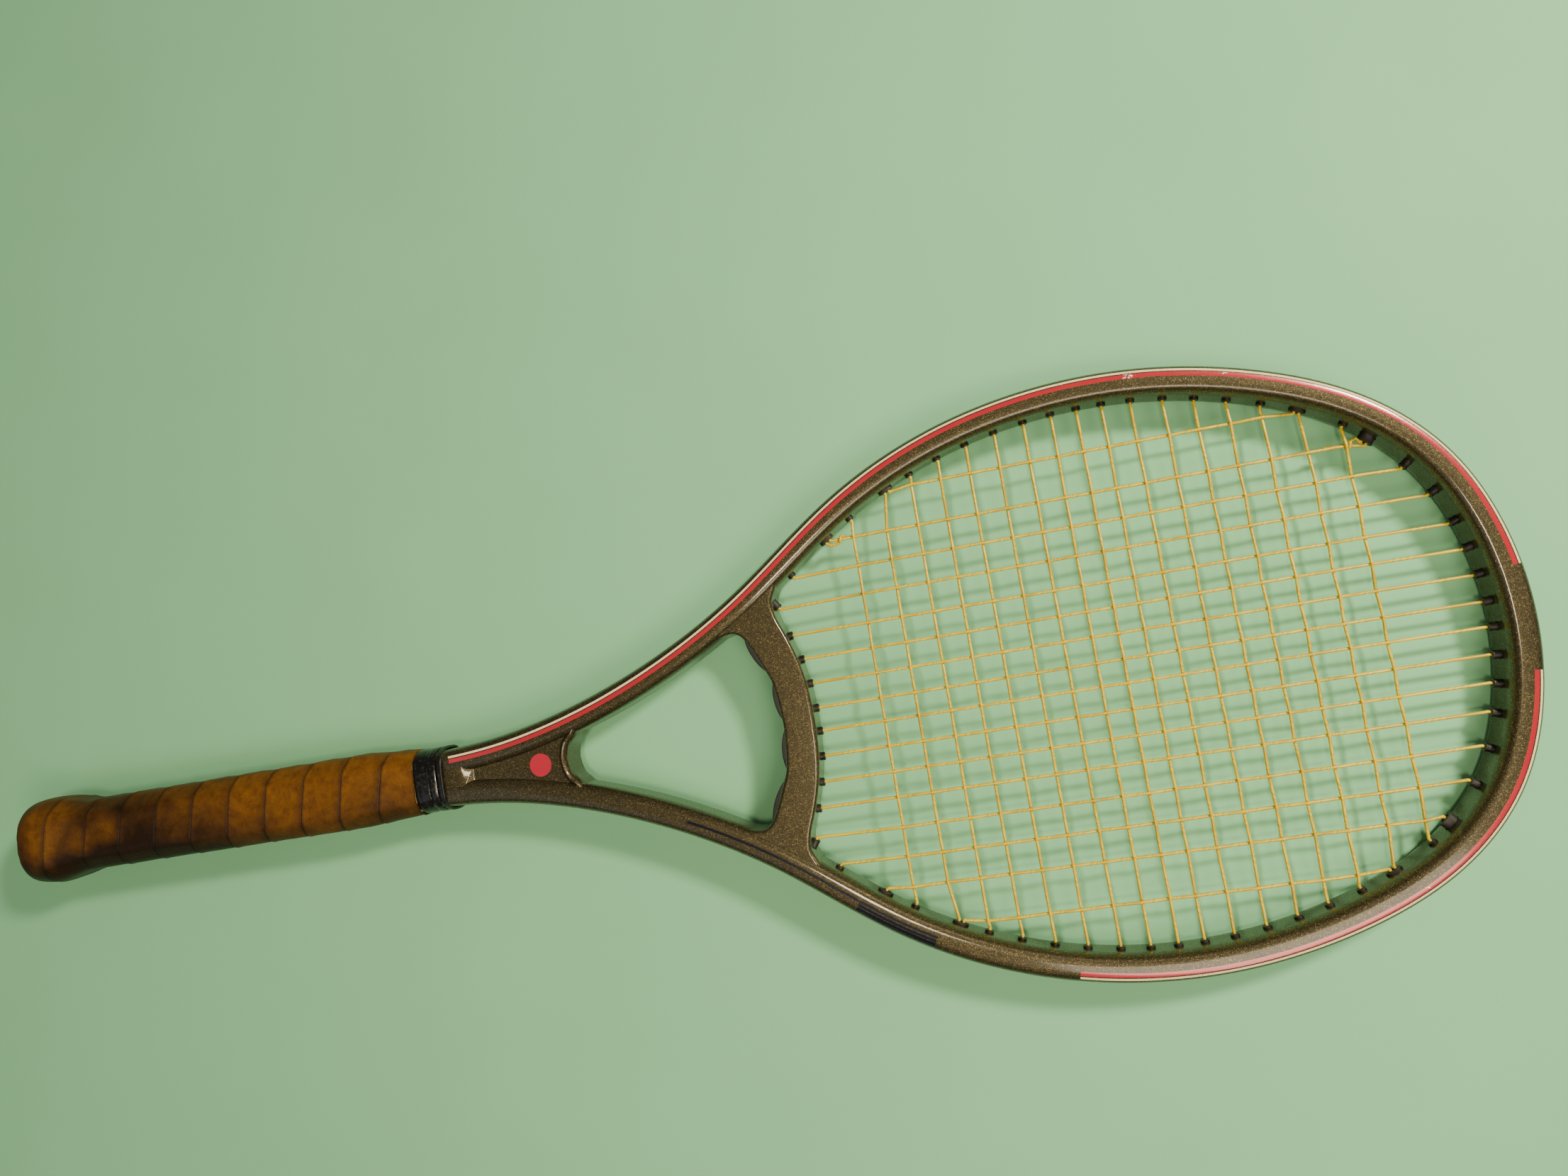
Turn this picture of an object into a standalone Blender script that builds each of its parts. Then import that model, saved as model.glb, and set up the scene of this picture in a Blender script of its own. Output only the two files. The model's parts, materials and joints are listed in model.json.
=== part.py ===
"""Tennis racket, full size, as an assembly of its real pieces.

Metres, +Z up. The origin is the middle of the flat butt end. +X runs up the handle to the head, +Y is the
left side of the frame and Z is square to the string bed, which lies in the plane z = 0.

A hairpin carbon tube makes the handle legs and the hoop. A moulded bridge closes the bottom of the head and
a web fills the crotch of the legs. Grommet strips line the groove round the hoop, four pads line the back of
the bridge, and one length of string runs through all of them. Foam pallets, a butt cap, staples, a leather
grip and a finishing tape make the handle.
"""
import math
from bisect import bisect_left

import bmesh
import bpy
import numpy as np
from mathutils import Matrix, Vector

MM = 0.001

# Clearances
FIT = 0.3 * MM          # between neighbouring pieces
PASS = 0.25 * MM        # between the string and what it runs through

# Hoop tube
TUBE_WIDTH = 12 * MM
TUBE_DEPTH = 21 * MM
LEG_GAP = 1.0 * MM      # between the two legs in the handle
TUBE_FLAT = 5.2 * MM    # width of the flats on the front and the back of the tube
TUBE_WALL = 1.8 * MM
STATION_STEP = 16 * MM

# Its centre line in plan, from the butt up the +Y leg to the tip of the head. Past its widest place the head
# is an arc whose points are (share of the way to the tip, half width).
TUBE_START = 20 * MM
HEAD_TIP = 679.4 * MM
HEAD_WIDEST = 510 * MM
LEG_OFFSET = (TUBE_WIDTH + LEG_GAP) / 2
LEGS = [(X * MM, Y * MM) for X, Y in (
    (245, 8.8), (285, 17.0), (330, 33.4), (375, 58.2), (420, 89.8), (465, 110.4))]
HEAD_ARC = [(0, 119.6 * MM), (0.2656, 119.2 * MM), (0.5313, 109.0 * MM), (0.7497, 91.0 * MM),
            (0.8973, 65.6 * MM), (0.974, 35.0 * MM), (1, 0)]
HEAD_LENGTH = HEAD_TIP - HEAD_WIDEST
CENTRE_LINE = [(TUBE_START, LEG_OFFSET), (120 * MM, LEG_OFFSET), (204 * MM, LEG_OFFSET + 0.2 * MM)]
CENTRE_LINE += LEGS + [(HEAD_WIDEST + HEAD_LENGTH * share, y) for share, y in HEAD_ARC]

# String groove round the hoop, with its grommet strips
GROOVE_START = 360 * MM         # along X
GROOVE_WIDTH = 7 * MM
GROOVE_DEPTH = 2.8 * MM
STRIP_FLOOR = 0.7 * MM
STRIP_WALL = 0.6 * MM
STRIP_PROUD = 0.4 * MM          # the strip's edges stand this far out of the groove
STRIP_SPLIT = 566 * MM          # along X: the head strip meets the side strips near here, between two holes
STRIP_GAP = 1.0 * MM
BARREL_RADIUS = 1.75 * MM
WIDE_BARREL = 1.85              # a barrel that can hold two strings is this much longer along the hoop
BORE_STRETCH = 2.5              # and its bore this much, so that two strings fit between its slanting sides
NUB_SIDE = 1.2 * MM             # how far the barrels stand out inside the hoop
NUB_HEAD = 3.4 * MM

# String bed
STRING_DIAMETER = 1.35 * MM
MAIN_OFFSETS = [Y * MM for Y in (5.1, 16.2, 27.3, 38.5, 51.5, 64.2, 77.2, 95.4)]
FIRST_CROSS = 425.5 * MM
CROSS_STEPS = [STEP * MM for STEP in (
    15, 14, 13, 13, 13, 13, 12, 11, 10.5, 12, 13, 12.5, 12.5, 13, 15, 14.5)]
WEAVE_GAP = 0.3 * MM
LANE = 1.5 * MM                 # a string that passes another in the groove runs this far off the middle
BYPASS = 0.75 * MM              # and the string that it passes turns this far the other way
PAIR_OFFSET = 1.1 * MM          # two strings in one barrel lie this far apart from its middle along the hoop
KNOT_PLACE = 5.5 * MM           # a tied end turns round its main this far from the barrel
KNOT_START = 3.1 * MM           # it reaches this far from the barrel, and to this side of the main, first
KNOT_SIDE = 2.0 * MM
KNOT_PITCH = 2.1 * MM
KNOT_STEPS = 8
TAIL_LENGTH = 8 * MM
BEND = 0.8 * MM                 # a string turns this far before it enters a barrel, and round each corner
FLOOR_CLEAR = 0.45 * MM         # a string comes this far past a strip's floor before it turns
RUN_STEP = 13 * MM

# Throat bridge
BRIDGE_DEPTH = 19 * MM
BRIDGE_FRONT = [(X * MM, Y * MM) for X, Y in (
    (396.2, 0), (395.7, 12), (394.4, 22), (392.2, 31), (389.2, 40), (386.4, 47.5), (385.6, 54), (388.6, 61))]
BRIDGE_BACK = [(X * MM, Y * MM) for X, Y in (
    (365.5, 45.8), (367.6, 42.8), (371.4, 41.4), (378.1, 24.4), (380.1, 19.2), (382, 2.1), (382, 0))]
BRIDGE_EDGE = 1.6 * MM          # bevel
BRIDGE_NUB = 1.8 * MM
BRIDGE_HOLE_REACH = 12.4 * MM   # mains 4 and 13 start this far inside the hoop's centre line
PAD_OVERHANG = 2.9 * MM         # a pad runs past its two holes by this much

# Throat wedge
WEDGE_TIP = 229 * MM
WEDGE_APEX = 281.6 * MM
WEDGE_DEPTH = 17 * MM
WEDGE_ARC = [(0, 0), (1.2 * MM, 6 * MM), (3.9 * MM, 9.8 * MM), (6.9 * MM, 12.4 * MM)]

# Handle: half width along Y and half depth along Z at stations along X
GRIP_HALF = (17.3 * MM, 15.5 * MM)
GRIP_TOP_HALF = (LEG_OFFSET + TUBE_WIDTH / 2 + 2.8 * MM, TUBE_DEPTH / 2 + 2.9 * MM)
GRIP_START = 2.3 * MM
GRIP_END = 208 * MM
GRIP_TAPER = GRIP_END - 28 * MM
LEATHER = 1.4 * MM
PALLET_INSET = LEATHER + FIT
PARTING_BLOCK = 100 * MM        # takes away the other pallet's half
FLARE_HALF = (21.3 * MM, 19.6 * MM)
FLARE_START = 9 * MM
FLARE_END = 14 * MM
NECK = 31 * MM
CORNER = 0.45                   # an octagon's cut corner, as a share of its half depth
BUTT_HALF = (19.6 * MM, 17.9 * MM)
CAP_PLATE = 3 * MM
CAP_END = 28 * MM
CAP_SKIRT = 1.2 * MM
DOOR_HALF = (9 * MM, 7.5 * MM)
DOOR_DEPTH = 1.8 * MM
TAPE_END = GRIP_END + 11 * MM
TAPE_THICKNESS = 1.1 * MM
TAPE_HALF = (LEG_OFFSET + TUBE_WIDTH / 2 + 2.3 * MM, TUBE_DEPTH / 2 + 1.9 * MM)
COLLAR_END = TAPE_END + 3.5 * MM
COLLAR_HALF = (TAPE_HALF[0] - 0.1 * MM, TAPE_HALF[1] - 0.2 * MM)

# Fixings
STAPLE_WIRE = 1.0 * MM
STAPLE_SPAN = 8 * MM
STAPLE_LEG = 5.5 * MM
STAPLE_PLACE = 19.5 * MM        # along X
TACK_HEAD = 2.6 * MM
TACK_HEAD_DEPTH = 0.8 * MM
TACK_SHANK = 0.7 * MM
TACK_LENGTH = 7 * MM
TACK_PLACE = 11.5 * MM          # along X

STRING_RADIUS = STRING_DIAMETER / 2
HALF_WIDTH = TUBE_WIDTH / 2
HALF_DEPTH = TUBE_DEPTH / 2
GROOVE_FLOOR = HALF_WIDTH - GROOVE_DEPTH
STRIP_BOTTOM = GROOVE_FLOOR + FIT
STRIP_TOP = STRIP_BOTTOM + STRIP_FLOOR
OUTER_RUN = STRIP_TOP + PASS + STRING_RADIUS    # the string's centre, outside the hoop's centre line
WEAVE = STRING_DIAMETER + WEAVE_GAP
HEX = math.cos(math.pi / 6)                     # a hexagon's flats, as a share of its corners
BORE_RADIUS = (STRING_RADIUS + PASS) / HEX
UP = Vector((0, 0, 1))

COLOURS = {
    "carbon": ((0.036, 0.032, 0.022), 0.35, 0.6),
    "black_plastic": ((0.010, 0.008, 0.006), 0.55, 0.0),
    "string": ((0.69, 0.48, 0.03), 0.35, 0.0),
    "leather": ((0.25, 0.077, 0.013), 0.6, 0.0),
    "tape": ((0.01, 0.01, 0.01), 0.2, 0.0),
    "foam": ((0.55, 0.50, 0.38), 0.9, 0.0),
    "steel": ((0.5, 0.5, 0.5), 0.3, 1.0),
}


# ---------------------------------------------------------------- collections, materials and meshes

def clear_scene():
    for item in list(bpy.data.objects):
        bpy.data.objects.remove(item, do_unlink=True)


def new_collection(name):
    group = bpy.data.collections.new(name)
    bpy.context.scene.collection.children.link(group)
    return group


def material(name, finish):
    colour, roughness, metallic = COLOURS[finish]
    made = bpy.data.materials.new(name)
    made.use_nodes = True
    shader = made.node_tree.nodes["Principled BSDF"]
    shader.inputs["Base Color"].default_value = (*colour, 1)
    shader.inputs["Roughness"].default_value = roughness
    shader.inputs["Metallic"].default_value = metallic
    return made


def finish_part(item, finish, smooth=True):
    """Puts a piece in the racket's collection with a material of its own."""
    RACKET.objects.link(item)
    item.parent = ROOT
    item.data.materials.clear()
    item.data.materials.append(material(item.name, finish))
    if smooth:
        item.data.shade_smooth()
        item.data.set_sharp_from_angle(angle=math.radians(32))
    return item


def cutter(item):
    CUTTERS.objects.link(item)
    item.hide_render = True
    item.display_type = "WIRE"
    return item


def boolean(item, tool, operation="DIFFERENCE", solver="EXACT"):
    made = item.modifiers.new(tool.name, "BOOLEAN")
    made.operation = operation
    made.solver = solver
    made.object = tool
    return made


def mesh_object(name, shape):
    """Turns a bmesh into an object whose faces point outwards."""
    bmesh.ops.recalc_face_normals(shape, faces=shape.faces)
    data = bpy.data.meshes.new(name)
    shape.to_mesh(data)
    shape.free()
    return bpy.data.objects.new(name, data)


def curve_to_mesh(name, curve):
    """Makes a closed mesh object of a curve, with its caps welded on."""
    holder = bpy.data.objects.new(name + "_curve", curve)
    bpy.context.scene.collection.objects.link(holder)
    depsgraph = bpy.context.evaluated_depsgraph_get()
    data = bpy.data.meshes.new_from_object(holder.evaluated_get(depsgraph), depsgraph=depsgraph)
    bpy.data.objects.remove(holder, do_unlink=True)
    shape = bmesh.new()
    shape.from_mesh(data)
    bmesh.ops.remove_doubles(shape, verts=shape.verts, dist=0.00001)
    bpy.data.meshes.remove(data)
    return mesh_object(name, shape)


def poly_curve(name, points, cyclic=False, dimensions="2D"):
    curve = bpy.data.curves.new(name, "CURVE")
    curve.dimensions = dimensions
    spline = curve.splines.new("POLY")
    spline.points.add(len(points) - 1)
    for slot, point in zip(spline.points, points):
        slot.co = (*Vector(point).to_3d(), 1)
    spline.use_cyclic_u = cyclic
    return curve


def sweep(name, path, section):
    """Runs a closed section along a flat path. A section point is (out, z), out being left of the path."""
    profile = poly_curve(name + "_section", [(-out, z) for out, z in section], cyclic=True)
    profile_object = bpy.data.objects.new(name + "_section", profile)
    bpy.context.scene.collection.objects.link(profile_object)
    curve = poly_curve(name, path)
    curve.bevel_mode = "OBJECT"
    curve.bevel_object = profile_object
    curve.use_fill_caps = True
    made = curve_to_mesh(name, curve)
    bpy.data.objects.remove(profile_object, do_unlink=True)
    return made


def plate(name, outline, depth):
    """A flat outline in plan, filled, and as deep as asked, half of it to each side of z = 0."""
    curve = poly_curve(name, outline, cyclic=True)
    curve.fill_mode = "BOTH"
    curve.extrude = depth / 2
    return curve_to_mesh(name, curve)


def join(name, items):
    """One mesh of several that don't touch, as a tool for a Boolean."""
    shape = bmesh.new()
    for item in items:
        shape.from_mesh(item.data)
        bpy.data.objects.remove(item, do_unlink=True)
    return mesh_object(name, shape)


def mirrored(outline):
    """Completes a half outline, given from y = 0 round to y = 0, with its mirror image."""
    return outline + [(x, -y) for x, y in reversed(outline) if y > 0]


# ---------------------------------------------------------------- centre line of the hoop

def cubic_slopes(knots, values, start_slope, end_slope):
    """Second derivatives of the cubic spline through the values, with its slope given at both ends."""
    count = len(knots)
    gaps = np.diff(knots)
    rises = np.diff(values) / gaps
    matrix = np.zeros((count, count))
    right = np.zeros(count)
    matrix[0, :2] = (2 * gaps[0], gaps[0])
    right[0] = 6 * (rises[0] - start_slope)
    matrix[-1, -2:] = (gaps[-1], 2 * gaps[-1])
    right[-1] = 6 * (end_slope - rises[-1])
    for row in range(1, count - 1):
        matrix[row, row - 1:row + 2] = (gaps[row - 1], 2 * (gaps[row - 1] + gaps[row]), gaps[row])
        right[row] = 6 * (rises[row] - rises[row - 1])
    return np.linalg.solve(matrix, right)


class CentreLine:
    """Smooth line up the +Y leg to the tip of the head. Past its length it returns down the -Y side."""

    def __init__(self, points):
        self.points = np.array(points)
        steps = np.linalg.norm(np.diff(self.points, axis=0), axis=1)
        self.knots = np.concatenate(([0], np.cumsum(steps)))
        self.bends = (cubic_slopes(self.knots, self.points[:, 0], 1, 0),
                      cubic_slopes(self.knots, self.points[:, 1], 0, -1))
        self.length = self.knots[-1]

    def value(self, axis, place):
        index = min(max(bisect_left(self.knots, place) - 1, 0), len(self.knots) - 2)
        gap = self.knots[index + 1] - self.knots[index]
        after = (place - self.knots[index]) / gap
        before = 1 - after
        bend = self.bends[axis]
        curved = (before ** 3 - before) * bend[index] + (after ** 3 - after) * bend[index + 1]
        line = before * self.points[index, axis] + after * self.points[index + 1, axis]
        return line + curved * gap * gap / 6

    def at(self, place):
        folded = place if place <= self.length else 2 * self.length - place
        side = 1 if place <= self.length else -1
        return Vector((self.value(0, folded), side * self.value(1, folded), 0))

    def along(self, place):
        step = 0.05 * MM
        return (self.at(place + step) - self.at(place - step)).normalized()

    def outward(self, place):
        return UP.cross(self.along(place))

    def offset(self, place, out, z=0.0):
        return self.at(place) + self.outward(place) * out + UP * z

    def solve(self, test, low, high):
        """The place between low and high where test changes sign."""
        sign = test(low) > 0
        for _ in range(50):
            middle = (low + high) / 2
            if (test(middle) > 0) == sign:
                low = middle
            else:
                high = middle
        return (low + high) / 2

    def place_of_x(self, x):
        return self.solve(lambda place: self.at(place).x - x, 0, self.length)


LINE = CentreLine(CENTRE_LINE)
WIDEST = LINE.solve(lambda place: LINE.along(place).y, LINE.place_of_x(400 * MM), LINE.length - 1 * MM)


def stations(start, end):
    """Places from start to end, closer together on the curved stretches than on the straight handle."""
    bend = LINE.place_of_x(GRIP_END)
    places = [0, bend / 2, bend]
    count = round((LINE.length - bend) / STATION_STEP)
    places += [bend + (LINE.length - bend) * step / count for step in range(1, count + 1)]
    places += [2 * LINE.length - place for place in reversed(places[:-1])]
    return [place for place in places if start <= place <= end]


def nearest_station(x):
    return min(stations(0, LINE.length), key=lambda place: abs(LINE.at(place).x - x))


def box_section(low, high, half):
    return [(low, -half), (high, -half), (high, half), (low, half)]


def tube_section(grow=0.0):
    """Rounded section with flats front and back, wider by grow all round."""
    width = HALF_WIDTH + grow
    depth = HALF_DEPTH + grow
    quarter = [(width, 0.4 * HALF_DEPTH), (0.86 * width, 0.76 * depth), (TUBE_FLAT / 2 + grow / 2, depth)]
    upper = quarter + [(-out, z) for out, z in reversed(quarter)]
    return upper + [(out, -z) for out, z in reversed(upper)]


def sweep_along(name, places, section):
    return sweep(name, [LINE.at(place).to_2d() for place in places], section)


# ---------------------------------------------------------------- string holes

class Hole:
    """A string hole: where its string leaves the hoop's inside, and its way out."""

    def __init__(self, place, reach, wide=False):
        self.place = place
        self.reach = reach
        self.wide = wide
        self.axis = LINE.outward(place)
        self.along = LINE.along(place)
        self.tip = LINE.offset(place, -reach)

    def point(self, out, z=0.0, shift=0.0):
        return LINE.at(self.place) + self.axis * out + self.along * shift + UP * z


class BridgeHole:
    """A string hole through the bridge, along X. Its outer side faces the handle."""

    def __init__(self, y):
        self.y = y
        self.wide = False
        self.axis = Vector((-1, 0, 0))
        self.back = outline_x(BRIDGE_BACK, abs(y))
        self.tip = Vector((outline_x(BRIDGE_FRONT, abs(y)) + BRIDGE_NUB, y, 0))


def outline_x(outline, y):
    """X of an outline, given with rising or falling y, where it passes y."""
    points = sorted(outline, key=lambda point: point[1])
    for (x_low, y_low), (x_high, y_high) in zip(points, points[1:]):
        if y_low <= y <= y_high and y_high > y_low:
            return x_low + (x_high - x_low) * (y - y_low) / (y_high - y_low)
    raise ValueError("the outline does not reach this y")


def hoop_hole_at_y(y, reach, head):
    """Hole whose tip is at y, on the head or on the throat side of the widest place. y may be negative."""
    low, high = (WIDEST, LINE.length) if head else (LINE.place_of_x(330 * MM), WIDEST)
    return LINE.solve(lambda place: LINE.offset(place, -reach).y - abs(y), low, high)


def hoop_hole_at_x(x, reach):
    return LINE.solve(lambda place: LINE.offset(place, -reach).x - x, LINE.place_of_x(330 * MM), LINE.length)


def other_side(place):
    return 2 * LINE.length - place


MAINS = list(reversed(MAIN_OFFSETS)) + [-y for y in MAIN_OFFSETS]
CROSSES = [FIRST_CROSS + sum(CROSS_STEPS[:index]) for index in range(len(CROSS_STEPS) + 1)]
LAST_MAIN = len(MAINS) - 1
LAST_CROSS = len(CROSSES) - 1
SHARED_CROSSES = (1, LAST_CROSS - 1)    # these share their holes with the outermost mains
SIDE_REACH = HALF_WIDTH + NUB_SIDE
HEAD_REACH = HALF_WIDTH + NUB_HEAD


def side_value(place, side):
    return place if side > 0 else other_side(place)


def make_holes():
    """Head and throat holes of every main, and left and right holes of every cross."""
    head, throat, left, right = [], [], [], []
    for index, x in enumerate(CROSSES):
        place = hoop_hole_at_x(x, SIDE_REACH)
        wide = index in SHARED_CROSSES
        if wide:
            outer = hoop_hole_at_y(MAINS[0], SIDE_REACH, head=index > 1)
            place = (place + outer) / 2
        left.append(Hole(place, SIDE_REACH, wide))
        right.append(Hole(other_side(place), SIDE_REACH, wide))
    for index, y in enumerate(MAINS):
        side = 1 if y > 0 else -1
        from_edge = min(index, LAST_MAIN - index)
        tie = from_edge == 1
        if from_edge == 0:
            shared = left if side > 0 else right
            throat.append(shared[SHARED_CROSSES[0]])
            head.append(shared[SHARED_CROSSES[1]])
            continue
        head.append(Hole(side_value(hoop_hole_at_y(y, HEAD_REACH, True), side), HEAD_REACH, tie))
        if from_edge < 3:
            place = hoop_hole_at_y(y, SIDE_REACH, False)
            throat.append(Hole(side_value(place, side), SIDE_REACH, tie))
        elif from_edge == 3:
            place = hoop_hole_at_y(y, BRIDGE_HOLE_REACH, False)
            throat.append(Hole(side_value(place, side), BRIDGE_HOLE_REACH))
        else:
            throat.append(BridgeHole(y))
    return head, throat, left, right


HEAD_HOLES, THROAT_HOLES, LEFT_HOLES, RIGHT_HOLES = make_holes()
HOOP_HOLES = LEFT_HOLES + RIGHT_HOLES + HEAD_HOLES[1:-1]
HOOP_HOLES += [hole for hole in THROAT_HOLES[1:-1] if isinstance(hole, Hole)]
BRIDGE_HOLES = [hole for hole in THROAT_HOLES if isinstance(hole, BridgeHole)]


def prism(start, end, radius, stretch=1.0):
    """A hexagonal rod from start to end, with two of its flats facing +Z and -Z, stretched between them."""
    shape = bmesh.new()
    length = (end - start).length
    bmesh.ops.create_cone(shape, cap_ends=True, segments=6, radius1=radius, radius2=radius, depth=length)
    forward = (end - start).normalized()
    frame = Matrix((UP.cross(forward) * stretch, UP, forward)).transposed().to_4x4()
    bmesh.ops.transform(shape, matrix=Matrix.Translation((start + end) / 2) @ frame, verts=shape.verts)
    return mesh_object("prism", shape)


def stretch_of(hole):
    return WIDE_BARREL if hole.wide else 1.0


# ---------------------------------------------------------------- hoop, bridge and wedge

def hole_cutters(name, holes, radius, inner, outer):
    """Rods through the wall at each hole, from inner to outer, both measured out from the centre line."""
    rods = []
    for hole in holes:
        low = inner if hole.reach < BRIDGE_HOLE_REACH else -BRIDGE_HOLE_REACH - 4 * MM
        rods.append(prism(hole.point(low), hole.point(outer), radius, stretch_of(hole)))
    return cutter(join(name, rods))


def make_hoop():
    places = stations(0, 2 * LINE.length)
    tube = sweep_along("hoop_tube", places, tube_section())
    first = nearest_station(GROOVE_START)
    groove_places = stations(first, other_side(first))
    groove = sweep_along("groove_cutter", groove_places,
                         box_section(GROOVE_FLOOR, HALF_WIDTH + 4 * MM, GROOVE_WIDTH / 2))
    inner = -HALF_WIDTH + TUBE_WALL
    outer = GROOVE_FLOOR - TUBE_WALL
    middle = (inner + outer) / 2
    shoulder = 0.5 * HALF_DEPTH
    top = HALF_DEPTH - TUBE_WALL
    hollow = [(inner, -shoulder), (middle, -top), (outer, -shoulder), (outer, shoulder), (middle, top),
              (inner, shoulder)]
    path = [LINE.at(place).to_2d() for place in places]
    path[0] -= Vector((5 * MM, 0))
    path[-1] -= Vector((5 * MM, 0))
    # The groove turns at the tube's own stations, so its edges meet the tube's: EXACT leaves gaps there.
    boolean(tube, cutter(groove), solver="MANIFOLD")
    boolean(tube, cutter(sweep("hollow_cutter", path, hollow)), solver="MANIFOLD")
    radius = BARREL_RADIUS + FIT / HEX
    holes = hole_cutters("hoop_holes", HOOP_HOLES, radius, -HALF_WIDTH - 2 * MM, HALF_WIDTH)
    boolean(tube, holes, solver="MANIFOLD")
    return finish_part(tube, "carbon")


def tube_envelope(name, low, high):
    """The tube and its clearance between two stations, on both legs, to cut what is moulded to it."""
    legs = []
    for side in (1, -1):
        places = [place for place in stations(low, high)]
        if side < 0:
            places = [other_side(place) for place in reversed(places)]
        legs.append(sweep_along(f"{name}_{side}", places, tube_section(FIT)))
    return cutter(join(name, legs))


def bevelled(item, width):
    made = item.modifiers.new("edges", "BEVEL")
    made.width = width
    made.segments = 2
    made.limit_method = "ANGLE"
    made.angle_limit = math.radians(60)
    return item


def make_bridge():
    sides = [LINE.at(LINE.place_of_x(x * MM)).to_2d() for x in (389, 378, 367)]
    half = BRIDGE_FRONT + [(point.x, point.y + 1 * MM) for point in sides] + BRIDGE_BACK
    body = bevelled(plate("throat_bridge", mirrored(half), BRIDGE_DEPTH), BRIDGE_EDGE)
    envelope = tube_envelope("bridge_seat", LINE.place_of_x(335 * MM), LINE.place_of_x(425 * MM))
    boolean(body, envelope, solver="MANIFOLD")
    rods = []
    radius = BARREL_RADIUS + FIT / HEX
    for hole in BRIDGE_HOLES:
        rods.append(prism(hole.tip + Vector((4 * MM, 0, 0)), hole.tip - Vector((25 * MM, 0, 0)), radius))
    for hole in THROAT_HOLES:
        if isinstance(hole, Hole) and hole.reach == BRIDGE_HOLE_REACH:
            rods.append(prism(hole.point(-BRIDGE_HOLE_REACH - 4 * MM), hole.point(0), radius))
    boolean(body, cutter(join("bridge_holes", rods)), solver="MANIFOLD")
    return finish_part(body, "carbon")


def make_wedge():
    arc = [(WEDGE_APEX + x, y) for x, y in WEDGE_ARC]
    legs = [LINE.at(LINE.place_of_x(x * MM)).to_2d() for x in (289, 270, 250)]
    tip = LINE.at(LINE.place_of_x(WEDGE_TIP)).to_2d()
    half = arc + [(point.x, point.y) for point in legs] + [(tip.x, tip.y), (tip.x, 0)]
    body = plate("throat_wedge", mirrored(half), WEDGE_DEPTH)
    low = nearest_station(GRIP_END)
    boolean(body, tube_envelope("wedge_seat", low, LINE.place_of_x(320 * MM)))
    return finish_part(body, "carbon")


# ---------------------------------------------------------------- grommets

def channel_section(bottom, rise):
    """U section that lies in the groove: its floor at bottom, its walls rise above the floor's top."""
    half = GROOVE_WIDTH / 2 - FIT
    top = bottom + STRIP_FLOOR
    inside = half - STRIP_WALL
    high = top + rise
    return [(bottom, -half), (high, -half), (high, -inside), (top, -inside), (top, inside), (high, inside),
            (high, half), (bottom, half)]


def add_barrels(item, name, holes, start, end_reach):
    """Joins a hollow barrel for each hole to a strip or a pad."""
    barrels = [prism(start(hole), end_reach(hole), BARREL_RADIUS, stretch_of(hole)) for hole in holes]
    bores = []
    for hole in holes:
        beyond = hole.axis * 3 * MM
        bores.append(prism(start(hole) + beyond, end_reach(hole) - beyond, BORE_RADIUS,
                           BORE_STRETCH if hole.wide else 1.0))
    boolean(item, cutter(join(name + "_barrels", barrels)), "UNION")
    boolean(item, cutter(join(name + "_bores", bores)))


def split_station():
    """The station near STRIP_SPLIT that is farthest from any hole."""
    wanted = LINE.place_of_x(STRIP_SPLIT)
    near = [place for place in stations(0, LINE.length) if abs(place - wanted) < STATION_STEP]
    return max(near, key=lambda place: min(abs(hole.place - place) for hole in HOOP_HOLES))


def make_strips():
    rise = HALF_WIDTH + STRIP_PROUD - STRIP_TOP
    section = channel_section(STRIP_BOTTOM, rise)
    start = nearest_station(GROOVE_START) + STRIP_GAP
    split = split_station()
    spans = {
        "left_grommet_strip": (start, split - STRIP_GAP),
        "head_grommet_strip": (split, other_side(split)),
        "right_grommet_strip": (other_side(split) + STRIP_GAP, other_side(start)),
    }
    for name, (low, high) in spans.items():
        places = [low] + [place for place in stations(low, high) if low < place < high] + [high]
        strip = sweep_along(name, places, section)
        holes = [hole for hole in HOOP_HOLES if low < hole.place < high]
        add_barrels(strip, name, holes, lambda hole: hole.point(STRIP_BOTTOM + STRIP_FLOOR / 2),
                    lambda hole: hole.tip)
        finish_part(strip, "black_plastic")


def pad_pairs():
    """Neighbouring bridge holes that share a pad, from left to right."""
    return list(zip(BRIDGE_HOLES[0::2], BRIDGE_HOLES[1::2]))


def pad_run(pair):
    """The line on the bridge's back face through a pad's two holes, right to left as seen from the butt."""
    first, second = (Vector((hole.back, hole.y)) for hole in pair)
    return first, second, (second - first).normalized()


def make_pads():
    section = channel_section(FIT, PASS + STRING_DIAMETER + STRIP_PROUD)
    for index, pair in enumerate(pad_pairs(), start=1):
        first, second, forward = pad_run(pair)
        ends = (second + forward * PAD_OVERHANG, first - forward * PAD_OVERHANG)
        pad = sweep(f"bridge_pad_{index}", ends, section)
        add_barrels(pad, pad.name, pair,
                    lambda hole: Vector((hole.back - FIT - STRIP_FLOOR / 2, hole.y, 0)),
                    lambda hole: hole.tip)
        finish_part(pad, "black_plastic")


# ---------------------------------------------------------------- string

class Pass:
    """How a string goes through a hole: shifted along the hoop, and turned up or down in the groove."""

    def __init__(self, hole, shift=0.0, z=0.0):
        self.hole = hole
        self.shift = shift
        self.z = z

    def way_out(self, toward):
        """From the hole's inner end to the run outside it. toward is +1 or -1 along the hoop."""
        inside = self.hole.tip - self.hole.axis * BEND + self.hole.along * self.shift
        return [inside, self.hole.point(STRIP_TOP + FLOOR_CLEAR, 0, self.shift),
                self.hole.point(OUTER_RUN, self.z, self.shift + toward * BEND)]


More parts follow.
